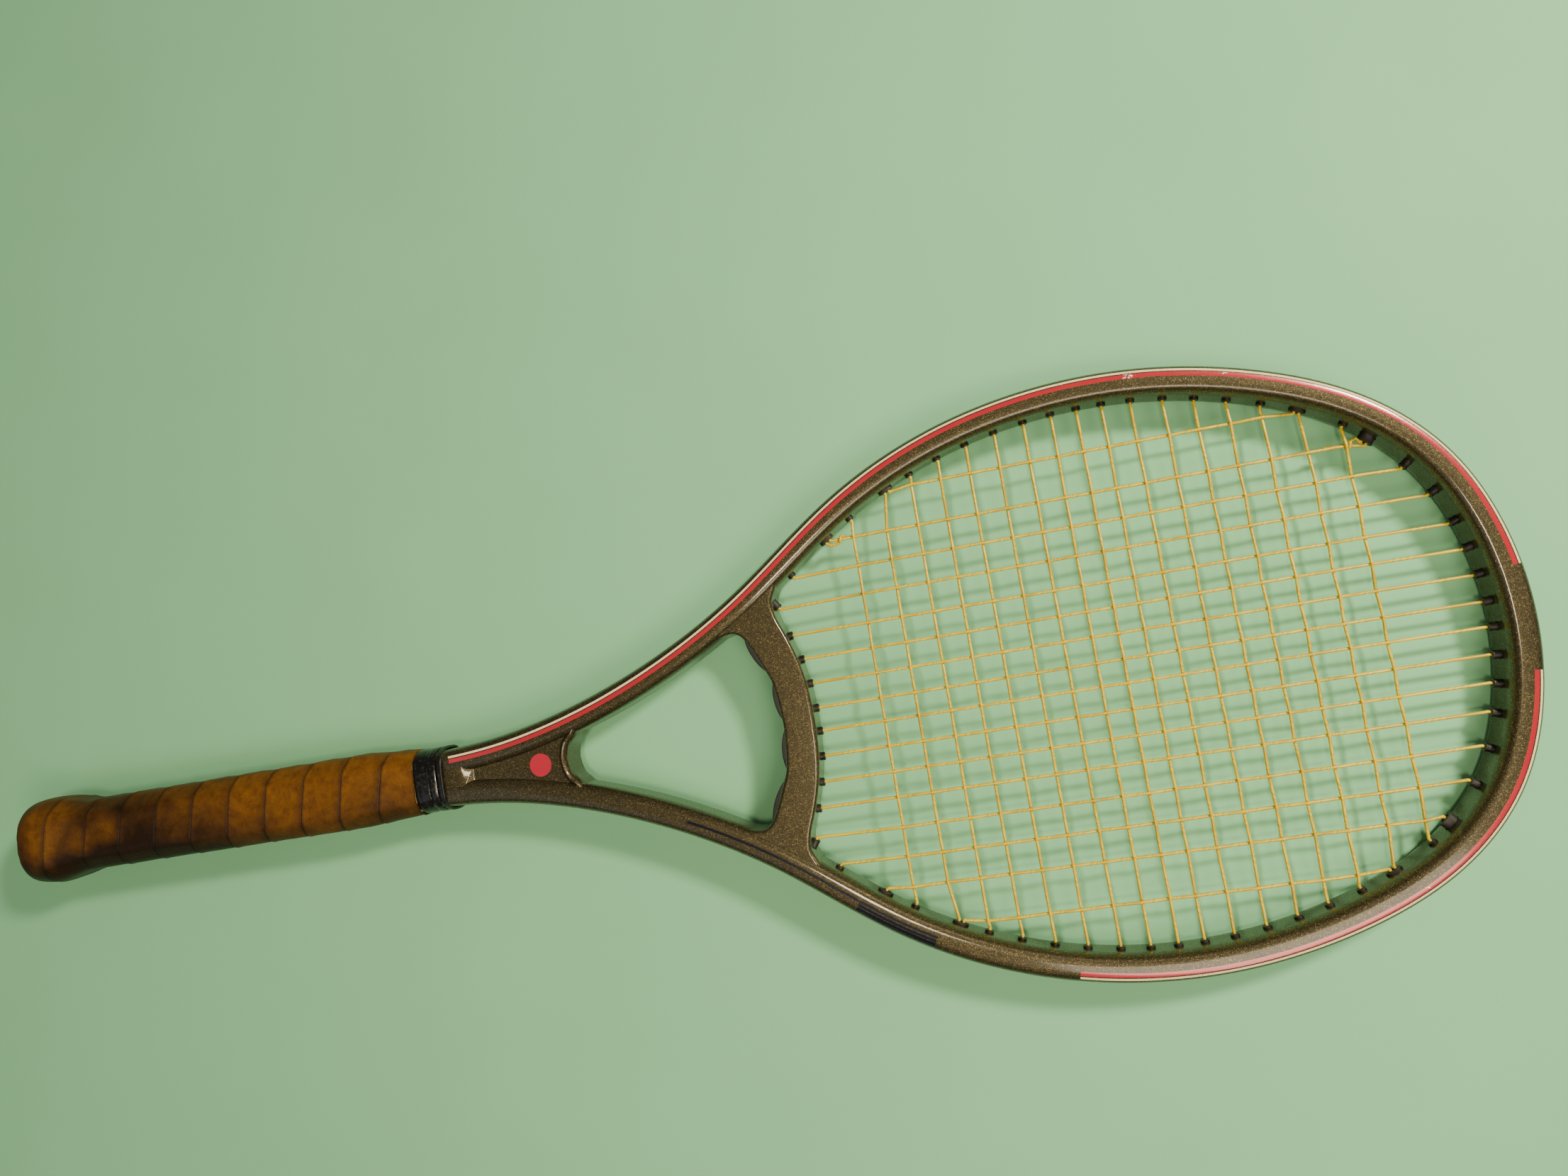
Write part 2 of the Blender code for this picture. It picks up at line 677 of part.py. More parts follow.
def outer_run(first, second, lane=0.0):
    """From one hole, along the groove, into another."""
    start, end = first.hole.place, second.hole.place
    toward = 1 if end > start else -1
    points = first.way_out(toward)
    count = max(1, math.ceil(abs(end - start) / RUN_STEP))
    for step in range(1, count):
        share = step / count
        z = lane if lane else first.z + (second.z - first.z) * share
        points.append(LINE.offset(start + (end - start) * share, OUTER_RUN, z))
    return points + second.way_out(-toward)[::-1]


def pad_loop(first, second):
    """From one bridge hole, round the back of its pad, into the next."""
    start, end, forward = pad_run((first, second))
    backward = forward.to_3d().cross(UP)
    clear = FIT + STRIP_FLOOR + PASS + STRING_RADIUS
    mouth = Vector((-FIT - STRIP_FLOOR - 0.2 * MM, 0, 0))
    return [
        first.tip + Vector((BEND, 0, 0)), start.to_3d() + mouth,
        start.to_3d() + backward * clear + forward.to_3d() * BEND,
        end.to_3d() + backward * clear - forward.to_3d() * BEND,
        end.to_3d() + mouth, second.tip + Vector((BEND, 0, 0))]


def side_of(y):
    return 1 if y > 0 else -1


def main_pass(index, at_head):
    """A main shares its hole with a cross at the edge of the head, and with a tied end beside it."""
    hole = (HEAD_HOLES if at_head else THROAT_HOLES)[index]
    side = side_of(MAINS[index])
    if index in (0, LAST_MAIN):
        return Pass(hole, side * PAIR_OFFSET * (-1 if at_head else 1), LANE)
    if index == 1:
        return Pass(hole, PAIR_OFFSET, -BYPASS if at_head else LANE)
    return Pass(hole)


def cross_pass(index, side):
    """A cross lies on the far side of a shared hole from the main."""
    hole = (LEFT_HOLES if side > 0 else RIGHT_HOLES)[index]
    if index not in SHARED_CROSSES:
        return Pass(hole)
    return Pass(hole, side * PAIR_OFFSET * (-1 if index == SHARED_CROSSES[0] else 1), -BYPASS)


def cross_points(index):
    """A cross from left to right, over and under the mains that it meets."""
    reach = LEFT_HOLES[index].tip.y - 2.5 * MM
    points = []
    for number, y in enumerate(MAINS):
        shared = index in SHARED_CROSSES and number in (0, LAST_MAIN)
        if abs(y) < reach and not shared:
            points.append(Vector((CROSSES[index], y, WEAVE * (1 if (number + index) % 2 else -1))))
    return points


def hitch(tip, side, direction):
    """The string's end turns once round main 2, from its side, and its tail lies behind that main."""
    start = 0 if side > 0 else math.pi
    end = math.radians(285 if side > 0 else -75)
    centre = Vector((tip.x + direction * KNOT_PLACE, MAINS[1], 0))
    turn = [Vector((tip.x + direction * KNOT_START, MAINS[1] + side * KNOT_SIDE, 0))]
    for step in range(1, KNOT_STEPS + 1):
        angle = start + (end - start) * step / KNOT_STEPS
        shift = direction * KNOT_PITCH * step / KNOT_STEPS
        turn.append(centre + Vector((shift, WEAVE * math.cos(angle), WEAVE * math.sin(angle))))
    return turn + [turn[-1] + Vector((direction * TAIL_LENGTH, 0, 0))]


def string_route():
    """The one string from its short side's end to its long side's end."""
    tie_head = Pass(HEAD_HOLES[1], -PAIR_OFFSET, LANE)
    tie_throat = Pass(THROAT_HOLES[1], -PAIR_OFFSET, -LANE)
    route = hitch(HEAD_HOLES[1].tip, 1, -1)[::-1]
    route += outer_run(tie_head, main_pass(0, True), LANE)
    for index in range(LAST_MAIN):
        at_head = index % 2 == 1
        first, second = main_pass(index, at_head), main_pass(index + 1, at_head)
        if isinstance(first.hole, BridgeHole):
            route += pad_loop(first.hole, second.hole)
        else:
            lane = 0.0 if at_head or index not in (0, LAST_MAIN - 1) else LANE
            route += outer_run(first, second, lane)
    route += outer_run(main_pass(LAST_MAIN, True), cross_pass(LAST_CROSS, -1), LANE)
    for index in range(LAST_CROSS, -1, -1):
        side = 1 if (LAST_CROSS - index) % 2 == 0 else -1
        route += cross_points(index)[::-side]
        if index > 0:
            route += outer_run(cross_pass(index, side), cross_pass(index - 1, side))
    route += outer_run(cross_pass(0, 1), tie_throat, -LANE)
    return route + hitch(THROAT_HOLES[1].tip, -1, 1)


def make_string():
    route = string_route()
    curve = poly_curve("string", route, dimensions="3D")
    curve.bevel_depth = STRING_RADIUS
    curve.bevel_resolution = 1
    curve.use_fill_caps = True
    return finish_part(curve_to_mesh("string", curve), "string")


# ---------------------------------------------------------------- handle

def octagon(half, inset=0.0):
    """Eight points of the handle's section, as (y, z), moved in by inset."""
    wide = half[0] - inset
    deep = half[1] - inset
    corner = CORNER * half[1] - inset * (2 - math.sqrt(2))
    quarter = [(wide, deep - corner), (wide - corner, deep)]
    upper = quarter + [(-y, z) for y, z in reversed(quarter)]
    return upper + [(y, -z) for y, z in reversed(upper)]


def octagon_solid(name, rings):
    """Solid through octagonal rings along X, each ring being (x, half sizes, inset)."""
    shape = bmesh.new()
    loops = [[shape.verts.new((x, y, z)) for y, z in octagon(half, inset)] for x, half, inset in rings]
    for low, high in zip(loops, loops[1:]):
        for index in range(8):
            after = (index + 1) % 8
            shape.faces.new((low[index], low[after], high[after], high[index]))
    shape.faces.new(loops[0])
    shape.faces.new(loops[-1])
    return mesh_object(name, shape)


GRIP_RINGS = [
    (GRIP_START, BUTT_HALF), (FLARE_START, FLARE_HALF), (FLARE_END, FLARE_HALF), (NECK, GRIP_HALF),
    (GRIP_TAPER, GRIP_HALF), (GRIP_END, GRIP_TOP_HALF)]


def make_leather():
    """A sleeve of leather from the butt to the tape, over the cap's flare and the pallets."""
    sleeve = octagon_solid("leather_grip", [(x, half, 0) for x, half in GRIP_RINGS])
    inside = [(x, half, LEATHER) for x, half in GRIP_RINGS]
    inside[0] = (GRIP_START - 1 * MM, BUTT_HALF, LEATHER)
    inside[-1] = (GRIP_END + 1 * MM, GRIP_TOP_HALF, LEATHER)
    boolean(sleeve, cutter(octagon_solid("leather_cutter", inside)))
    boolean(sleeve, cutter(tack_shape("tack_hole_leather", FIT)))
    return finish_part(sleeve, "leather")


def make_pallets():
    """Front and back foam halves round the tubes, parted on z = 0."""
    rings = [(CAP_PLATE + FIT, GRIP_HALF, PALLET_INSET), (GRIP_TAPER, GRIP_HALF, PALLET_INSET),
             (GRIP_END - FIT, GRIP_TOP_HALF, PALLET_INSET)]
    seat_places = stations(0, LINE.place_of_x(240 * MM))
    for name, side in (("front_pallet", 1), ("back_pallet", -1)):
        half = octagon_solid(name, rings)
        seats = []
        for leg in (1, -1):
            places = seat_places if leg > 0 else [other_side(place) for place in reversed(seat_places)]
            path = [LINE.at(place).to_2d() for place in places]
            path[0 if leg > 0 else -1] -= Vector((FIT, 0))
            seats.append(sweep(f"{name}_seat", path, tube_section(FIT)))
        boolean(half, cutter(join(f"{name}_seats", seats)))
        shape = bmesh.new()
        bmesh.ops.create_cube(shape, size=1)
        size = Matrix.Diagonal((1, PARTING_BLOCK, PARTING_BLOCK, 1))
        shift = Matrix.Translation((0, 0, -side * (PARTING_BLOCK - FIT) / 2))
        bmesh.ops.transform(shape, matrix=shift @ size, verts=shape.verts)
        boolean(half, cutter(mesh_object(f"{name}_parting", shape)))
        boolean(half, cutter(staple_shape(f"{name}_staple_holes", side, FIT)))
        if side < 0:
            boolean(half, cutter(tack_shape("tack_hole_pallet", FIT)))
        finish_part(half, "foam")


def make_cap():
    """Moulded cap over the pallets' end, with its flare outside and a seat for the door in its end."""
    outside = [(0, BUTT_HALF, 0.6 * MM), (GRIP_START - FIT, BUTT_HALF, 0)]
    outside += [(GRIP_START - FIT / 2, BUTT_HALF, LEATHER + FIT), (FLARE_START, FLARE_HALF, LEATHER + FIT),
                (FLARE_END, FLARE_HALF, LEATHER + FIT)]
    share = (CAP_END - FLARE_END) / (NECK - FLARE_END)
    end_half = tuple(flare + (grip - flare) * share for flare, grip in zip(FLARE_HALF, GRIP_HALF))
    outside.append((CAP_END, end_half, LEATHER + FIT))
    cap = octagon_solid("butt_cap", outside)
    pocket = octagon_solid("cap_pocket", [(CAP_PLATE, GRIP_HALF, PALLET_INSET - FIT),
                                          (CAP_END + 2 * MM, GRIP_HALF, PALLET_INSET - FIT)])
    boolean(cap, cutter(pocket))
    boolean(cap, cutter(door_shape("door_seat", FIT)))
    for side in (1, -1):
        boolean(cap, cutter(staple_shape(f"cap_staple_holes_{side}", side, FIT)))
    boolean(cap, cutter(tack_shape("tack_hole_cap", FIT)))
    return finish_part(cap, "black_plastic")


def door_shape(name, grow):
    half = tuple(size + grow for size in DOOR_HALF)
    return octagon_solid(name, [(-1 * MM if grow else 0, half, 0), (DOOR_DEPTH + grow, half, 0)])


def make_door():
    return finish_part(door_shape("butt_door", 0), "black_plastic")


def cap_height(x):
    """Half depth of the cap's outside at x, on the slope behind its flare."""
    share = (x - FLARE_END) / (NECK - FLARE_END)
    return FLARE_HALF[1] + (GRIP_HALF[1] - FLARE_HALF[1]) * share - LEATHER - FIT


def staple_shape(name, side, grow):
    """A wire staple driven into the cap from the front or the back, its crown just under the leather."""
    wire = STAPLE_WIRE + 2 * grow
    crown_top = cap_height(STAPLE_PLACE + wire) + (2 * MM if grow else 0)
    crown_low = cap_height(STAPLE_PLACE + wire) - STAPLE_WIRE - grow
    leg_end = crown_low - STAPLE_LEG - grow
    half = STAPLE_SPAN / 2 + grow
    section = [(-half, leg_end), (-half + wire, leg_end), (-half + wire, crown_low), (half - wire, crown_low),
               (half - wire, leg_end), (half, leg_end), (half, crown_top), (-half, crown_top)]
    shape = bmesh.new()
    corners = [shape.verts.new((STAPLE_PLACE - wire / 2, y, side * z)) for y, z in section]
    face = shape.faces.new(corners)
    pushed = bmesh.ops.extrude_face_region(shape, geom=[face])["geom"]
    moved = [item for item in pushed if isinstance(item, bmesh.types.BMVert)]
    bmesh.ops.translate(shape, verts=moved, vec=(wire, 0, 0))
    return mesh_object(name, shape)


def make_staples():
    for number, side in ((1, 1), (2, -1)):
        finish_part(staple_shape(f"butt_staple_{number}", side, 0), "steel", smooth=False)


def tack_shape(name, grow):
    """A round-headed tack through the leather's first turn, on the back of the flare."""
    head_top = -FLARE_HALF[1] + TACK_HEAD_DEPTH + 0.1 * MM
    extra = 2 * MM if grow else 0
    profile = [(TACK_HEAD + grow, head_top - TACK_HEAD_DEPTH - extra), (TACK_HEAD + grow, head_top + grow),
               (TACK_SHANK + grow, head_top + grow), (TACK_SHANK + grow, head_top + TACK_LENGTH),
               (0, head_top + TACK_LENGTH + 0.8 * MM + grow)]
    shape = bmesh.new()
    start = [shape.verts.new((0, 0, profile[0][1]))]
    start += [shape.verts.new((radius, 0, z)) for radius, z in profile]
    for low, high in zip(start, start[1:]):
        shape.edges.new((low, high))
    bmesh.ops.spin(shape, geom=shape.verts[:] + shape.edges[:], cent=(0, 0, 0), axis=(0, 0, 1),
                   angle=math.tau, steps=12, use_merge=True)
    bmesh.ops.remove_doubles(shape, verts=shape.verts, dist=0.00001)
    bmesh.ops.translate(shape, verts=shape.verts, vec=(TACK_PLACE, 0, 0))
    return mesh_object(name, shape)


def make_tack():
    return finish_part(tack_shape("grip_tack", 0), "steel")


def ring_round_tubes(name, low, high, half, thickness, finish):
    """A band round the two legs, its inside an octagon with room for them."""
    band = octagon_solid(name, [(low, half, 0), (high, half, 0)])
    rings = [(low - 1 * MM, half, thickness), (high + 1 * MM, half, thickness)]
    hole = octagon_solid(f"{name}_inside", rings)
    boolean(band, cutter(hole))
    boolean(band, tube_envelope(f"{name}_seat", LINE.place_of_x(GRIP_END / 3), LINE.place_of_x(250 * MM)))
    return finish_part(band, finish)


def make_bands():
    ring_round_tubes("finishing_tape", GRIP_END + FIT, TAPE_END, TAPE_HALF, TAPE_THICKNESS, "tape")
    ring_round_tubes("collar_ring", TAPE_END + FIT, COLLAR_END, COLLAR_HALF, TAPE_THICKNESS, "black_plastic")


# ---------------------------------------------------------------- assembly

clear_scene()
RACKET = new_collection("tennis_racket")
CUTTERS = new_collection("cutters")
ROOT = bpy.data.objects.new("racket_origin", None)
RACKET.objects.link(ROOT)

make_hoop()
make_bridge()
make_wedge()
make_strips()
make_pads()
make_string()
make_pallets()
make_cap()
make_door()
make_staples()
make_leather()
make_tack()
make_bands()
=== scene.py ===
"""Tennis racket: the visual model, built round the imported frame.

Metres. The middle of the flat butt end is the origin, +X runs up the handle to the head, +Y is the left side
of the frame, and the string bed lies in the plane z = 0. Lengths in the tables are millimetres times MM.
"""
from __future__ import annotations

import json
import logging
import math
import sys
from dataclasses import dataclass, field
from enum import Enum
from typing import Any, Callable, Sequence

import bpy
import numpy as np
from mathutils import Matrix, Vector

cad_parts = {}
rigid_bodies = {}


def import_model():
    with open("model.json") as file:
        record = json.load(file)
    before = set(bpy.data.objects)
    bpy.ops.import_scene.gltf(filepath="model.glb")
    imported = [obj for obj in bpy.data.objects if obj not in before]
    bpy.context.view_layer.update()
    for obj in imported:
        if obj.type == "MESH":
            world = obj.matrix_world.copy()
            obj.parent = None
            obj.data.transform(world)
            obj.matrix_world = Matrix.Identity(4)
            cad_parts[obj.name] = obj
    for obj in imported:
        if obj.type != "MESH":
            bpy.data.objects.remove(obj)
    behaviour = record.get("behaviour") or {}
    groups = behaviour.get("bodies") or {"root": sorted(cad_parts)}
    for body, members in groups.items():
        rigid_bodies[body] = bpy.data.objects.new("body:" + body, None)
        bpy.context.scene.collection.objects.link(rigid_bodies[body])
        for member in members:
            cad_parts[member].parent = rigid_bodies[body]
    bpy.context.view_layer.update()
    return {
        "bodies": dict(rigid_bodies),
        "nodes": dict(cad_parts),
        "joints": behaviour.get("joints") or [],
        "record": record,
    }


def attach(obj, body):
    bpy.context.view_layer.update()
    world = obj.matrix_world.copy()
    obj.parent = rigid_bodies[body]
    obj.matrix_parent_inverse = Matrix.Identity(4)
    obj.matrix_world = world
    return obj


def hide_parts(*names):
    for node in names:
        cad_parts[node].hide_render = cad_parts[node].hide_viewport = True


LOG = logging.getLogger("racket")
MM = 0.001
UP = Vector((0, 0, 1))
WELD = 0.00001
SHARP = math.radians(38)
Pair = tuple[float, float]


class Slot(Enum):
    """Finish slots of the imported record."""

    CARBON = "painted_carbon"
    GROMMET = "grommet_nylon"
    STRING = "string_nylon"
    CAP = "cap_plastic"
    LEATHER = "grip_leather"
    TAPE = "gloss_tape"
    COLLAR = "collar_rubber"


# ---------------------------------------------------------------- modelling helpers

def pick(*items: bpy.types.Object) -> None:
    """Selects only these objects; the first is active."""
    bpy.ops.object.select_all(action="DESELECT")
    for item in items:
        item.select_set(True)
    bpy.context.view_layer.objects.active = items[0]


def clean(item: bpy.types.Object) -> bpy.types.Object:
    """Merges doubled points and turns every face outwards.

    Args:
        item: The mesh object.

    Returns:
        The same object.
    """
    pick(item)
    bpy.ops.object.mode_set(mode="EDIT")
    bpy.ops.mesh.select_all(action="SELECT")
    bpy.ops.mesh.remove_doubles(threshold=WELD)
    bpy.ops.mesh.normals_make_consistent(inside=False)
    bpy.ops.object.mode_set(mode="OBJECT")
    return item


def points_of(item: bpy.types.Object) -> np.ndarray:
    """A mesh's points, as rows.

    Args:
        item: The mesh object.

    Returns:
        One row of X, Y and Z for each point.
    """
    flat = np.zeros(len(item.data.vertices) * 3)
    item.data.vertices.foreach_get("co", flat)
    return flat.reshape(-1, 3)


def keep_lay(item: bpy.types.Object, columns: Sequence[np.ndarray]) -> None:
    """Keeps three numbers at each point as the attribute "lay", which a finish reads."""
    lay = np.column_stack(columns)
    item.data.attributes.new("lay", "FLOAT_VECTOR", "POINT").data.foreach_set("vector", lay.ravel())


def mirrored(half: Sequence[Pair]) -> list[Pair]:
    """A closed outline from its half with a positive second coordinate."""
    return list(half) + [(along, -across) for along, across in reversed(half) if across > 0]


def line_of(name: str, points: Sequence[Sequence[float]], flat: bool = True,
            closed: bool = False) -> bpy.types.Object:
    """Makes a curve object of one straight-sided spline.

    Args:
        name: Name of the object.
        points: Its points, in the plane for a flat curve.
        flat: Whether the curve stays in the plane.
        closed: Whether the last point joins the first.

    Returns:
        The curve object.
    """
    bpy.ops.object.select_all(action="DESELECT")
    bpy.ops.object.add(type="CURVE", location=(0, 0, 0))
    item = bpy.context.object
    item.name = name
    item.data.dimensions = "2D" if flat else "3D"
    spline = item.data.splines.new("POLY")
    spline.points.add(len(points) - 1)
    table = np.zeros((len(points), 4))
    places = np.array([tuple(point) for point in points])
    table[:, :places.shape[1]] = places
    table[:, 3] = 1
    spline.points.foreach_set("co", table.ravel())
    spline.use_cyclic_u = closed
    return item


def as_mesh(item: bpy.types.Object) -> bpy.types.Object:
    """Turns a curve object into a closed mesh.

    Args:
        item: The curve object.

    Returns:
        The mesh object that takes its place.
    """
    pick(item)
    bpy.ops.object.convert(target="MESH")
    return clean(bpy.context.object)


def sweep(name: str, path: Sequence[Sequence[float]], section: Sequence[Pair]) -> bpy.types.Object:
    """Runs a closed section along a flat path.

    Args:
        name: Name of the solid.
        path: Points in plan.
        section: Points as (out, z); out lies to the left of the path.

    Returns:
        The solid, with capped ends.
    """
    profile = line_of(name + "_section", [(-out, z) for out, z in section], closed=True)
    item = line_of(name, path)
    item.data.bevel_mode = "OBJECT"
    item.data.bevel_object = profile
    item.data.use_fill_caps = True
    solid = as_mesh(item)
    bpy.data.objects.remove(profile)
    return solid


def plate(name: str, outline: Sequence[Pair], depth: float, edge: float = 0.0) -> bpy.types.Object:
    """Fills an outline in plan and gives it depth on both sides of z = 0.

    Args:
        name: Name of the solid.
        outline: Points in plan.
        depth: Whole depth along Z.
        edge: Width of the rounded edge, or 0.

    Returns:
        The solid.
    """
    item = line_of(name, outline, closed=True)
    item.data.fill_mode = "BOTH"
    item.data.extrude = depth / 2 - edge
    item.data.bevel_depth = edge
    item.data.bevel_resolution = 3
    item.data.offset = -edge
    return as_mesh(item)


def apply_all(item: bpy.types.Object) -> bpy.types.Object:
    """Applies every modifier of a piece.

    Args:
        item: The piece.

    Returns:
        The same object.
    """
    pick(item)
    for name in [made.name for made in item.modifiers]:
        bpy.ops.object.modifier_apply(modifier=name)
    return item


def shaded(item: bpy.types.Object) -> bpy.types.Object:
    """Shades the soft edges smooth, with the large faces kept flat.

    Args:
        item: The piece.

    Returns:
        The same object.
    """
    pick(item)
    bpy.ops.object.shade_smooth_by_angle(angle=SHARP)
    made = item.modifiers.new("normals", "WEIGHTED_NORMAL")
    made.keep_sharp = True
    return apply_all(item)


def combine(item: bpy.types.Object, tool: bpy.types.Object, operation: str = "DIFFERENCE") -> bpy.types.Object:
    """Cuts a tool out of a piece, or adds it, and removes the tool.

    Args:
        item: The piece.
        tool: The other solid.
        operation: The Boolean operation.

    Returns:
        The piece.
    """
    made = item.modifiers.new("combine", "BOOLEAN")
    made.operation = operation
    made.solver = "MANIFOLD"
    made.object = tool
    apply_all(item)
    bpy.data.objects.remove(tool)
    return item


def joined(name: str, items: Sequence[bpy.types.Object]) -> bpy.types.Object:
    """Makes one object of several.

    Args:
        name: Name of the one object.
        items: The objects.

    Returns:
        The one object.
    """
    pick(*items)
    if len(items) > 1:
        bpy.ops.object.join()
    item = bpy.context.object
    item.name = name
    return item


def turned(name: str, profile: Sequence[Pair], sides: int) -> bpy.types.Object:
    """Turns a solid round the Z axis, ring by ring.

    Args:
        name: Name of the solid.
        profile: Rings as (radius, height), from one end to the other.
        sides: Number of sides.

    Returns:
        The closed solid.
    """
    bpy.ops.object.select_all(action="DESELECT")
    radius, height = profile[0]
    bpy.ops.mesh.primitive_circle_add(vertices=sides, radius=radius, fill_type="NGON", location=(0, 0, height))
    item = bpy.context.object
    item.name = name
    bpy.ops.object.transform_apply(location=True)
    bpy.ops.object.mode_set(mode="EDIT")
    for (radius, height), (wide, high) in zip(profile, profile[1:]):
        bpy.ops.mesh.extrude_region_move(TRANSFORM_OT_translate={"value": (0, 0, high - height)})
        share = wide / radius
        bpy.ops.transform.resize(value=(share, share, 1), center_override=(0, 0, high))
    bpy.ops.object.mode_set(mode="OBJECT")
    return clean(item)


def placed(master: bpy.types.Object, start: Vector, forward: Vector, length: float,
           stretch: float = 1.0) -> bpy.types.Object:
    """Copies a solid of unit length along Z, with a mesh of its own, to stand at start.

    Args:
        master: The solid, from z = 0 to z = 1.
        start: Where its lower end goes.
        forward: Which way it points.
        length: How long the copy is.
        stretch: How much wider it is across, square to Z.

    Returns:
        The copy.
    """
    item = master.copy()
    item.data = master.data.copy()
    bpy.context.scene.collection.objects.link(item)
    axes = Matrix((UP.cross(forward) * stretch, UP, forward * length)).transposed().to_4x4()
    item.data.transform(Matrix.Translation(start) @ axes)
    return item


def copies(profile: Sequence[Pair], sides: int, stands: Sequence[tuple[Any, ...]]) -> list[bpy.types.Object]:
    """Turns one solid of unit length and stands a copy of it at each place.

    Args:
        profile: Its rings as (radius, height).
        sides: Number of sides.
        stands: What placed() is told of each copy.

    Returns:
        The copies.
    """
    master = turned("master", profile, sides)
    made = [placed(master, *stand) for stand in stands]
    bpy.data.objects.remove(master)
    return made


def sleeve(name: str, rings: int, around: int, wall: float,
           shape: Callable[[np.ndarray, np.ndarray], np.ndarray]) -> bpy.types.Object:
    """Rolls a grid into a sleeve and thickens it inwards.

    Args:
        name: Name of the piece.
        rings: Steps along.
        around: Steps round.
        wall: Its thickness.
        shape: Gives places for shares along and round, both from 0 to 1.

    Returns:
        The sleeve, with closed rims.
    """
    bpy.ops.object.select_all(action="DESELECT")
    bpy.ops.mesh.primitive_grid_add(x_subdivisions=rings, y_subdivisions=around, size=1)
    item = bpy.context.object
    item.name = name
    grid = points_of(item) + 0.5
    item.data.vertices.foreach_set("co", shape(grid[:, 0], grid[:, 1]).ravel())
    clean(item)
    made = item.modifiers.new("wall", "SOLIDIFY")
    made.thickness = wall
    made.offset = -1
    return apply_all(item)


def octagon_radius(angle: np.ndarray, wide: np.ndarray, deep: np.ndarray, corner: float,
                   softness: float | np.ndarray) -> np.ndarray:
    """Distance from the handle's axis to a soft-cornered octagon.

    Args:
        angle: Angle from +Y towards +Z.
        wide: Half width.
        deep: Half depth.
        corner: Cut corner, as a share of the half depth.
        softness: Higher is a sharper corner.

    Returns:
        The distances.
    """
    slant = (wide + deep - corner * deep) / math.sqrt(2)
    total = np.zeros_like(angle)
    for turn, reach in ((0, wide), (45, slant), (90, deep), (135, slant)):
        facing = np.abs(np.cos(angle - math.radians(turn))) / reach
        total += facing ** softness
    return total ** (-1 / softness)


def smooth_through(points: Sequence[Sequence[float]] | np.ndarray, steps: int) -> np.ndarray:
    """A smooth curve through the points.

    Args:
        points: The points that it passes.
        steps: How many pieces each stretch is cut into.

    Returns:
        Its points.
    """
    points = np.array(points)
    padded = np.vstack([2 * points[0] - points[1], points, 2 * points[-1] - points[-2]])
    gaps = np.maximum(np.linalg.norm(np.diff(padded, axis=0), axis=1), 1e-9) ** 0.5
    found = []
    for index in range(1, len(padded) - 2):
        before, start, end, after = padded[index - 1:index + 3]
        g0, g1, g2 = gaps[index - 1:index + 2]
        leave = g1 * ((start - before) / g0 - (end - before) / (g0 + g1)) + (end - start)
        reach = g1 * ((after - end) / g2 - (after - start) / (g1 + g2)) + (end - start)
        for share in np.arange(steps) / steps:
            square, cube = share ** 2, share ** 3
            found.append((2 * cube - 3 * square + 1) * start + (cube - 2 * square + share) * leave
                         + (3 * square - 2 * cube) * end + (cube - square) * reach)
    return np.array(found + [points[-1]])


# ---------------------------------------------------------------- centre line and holes

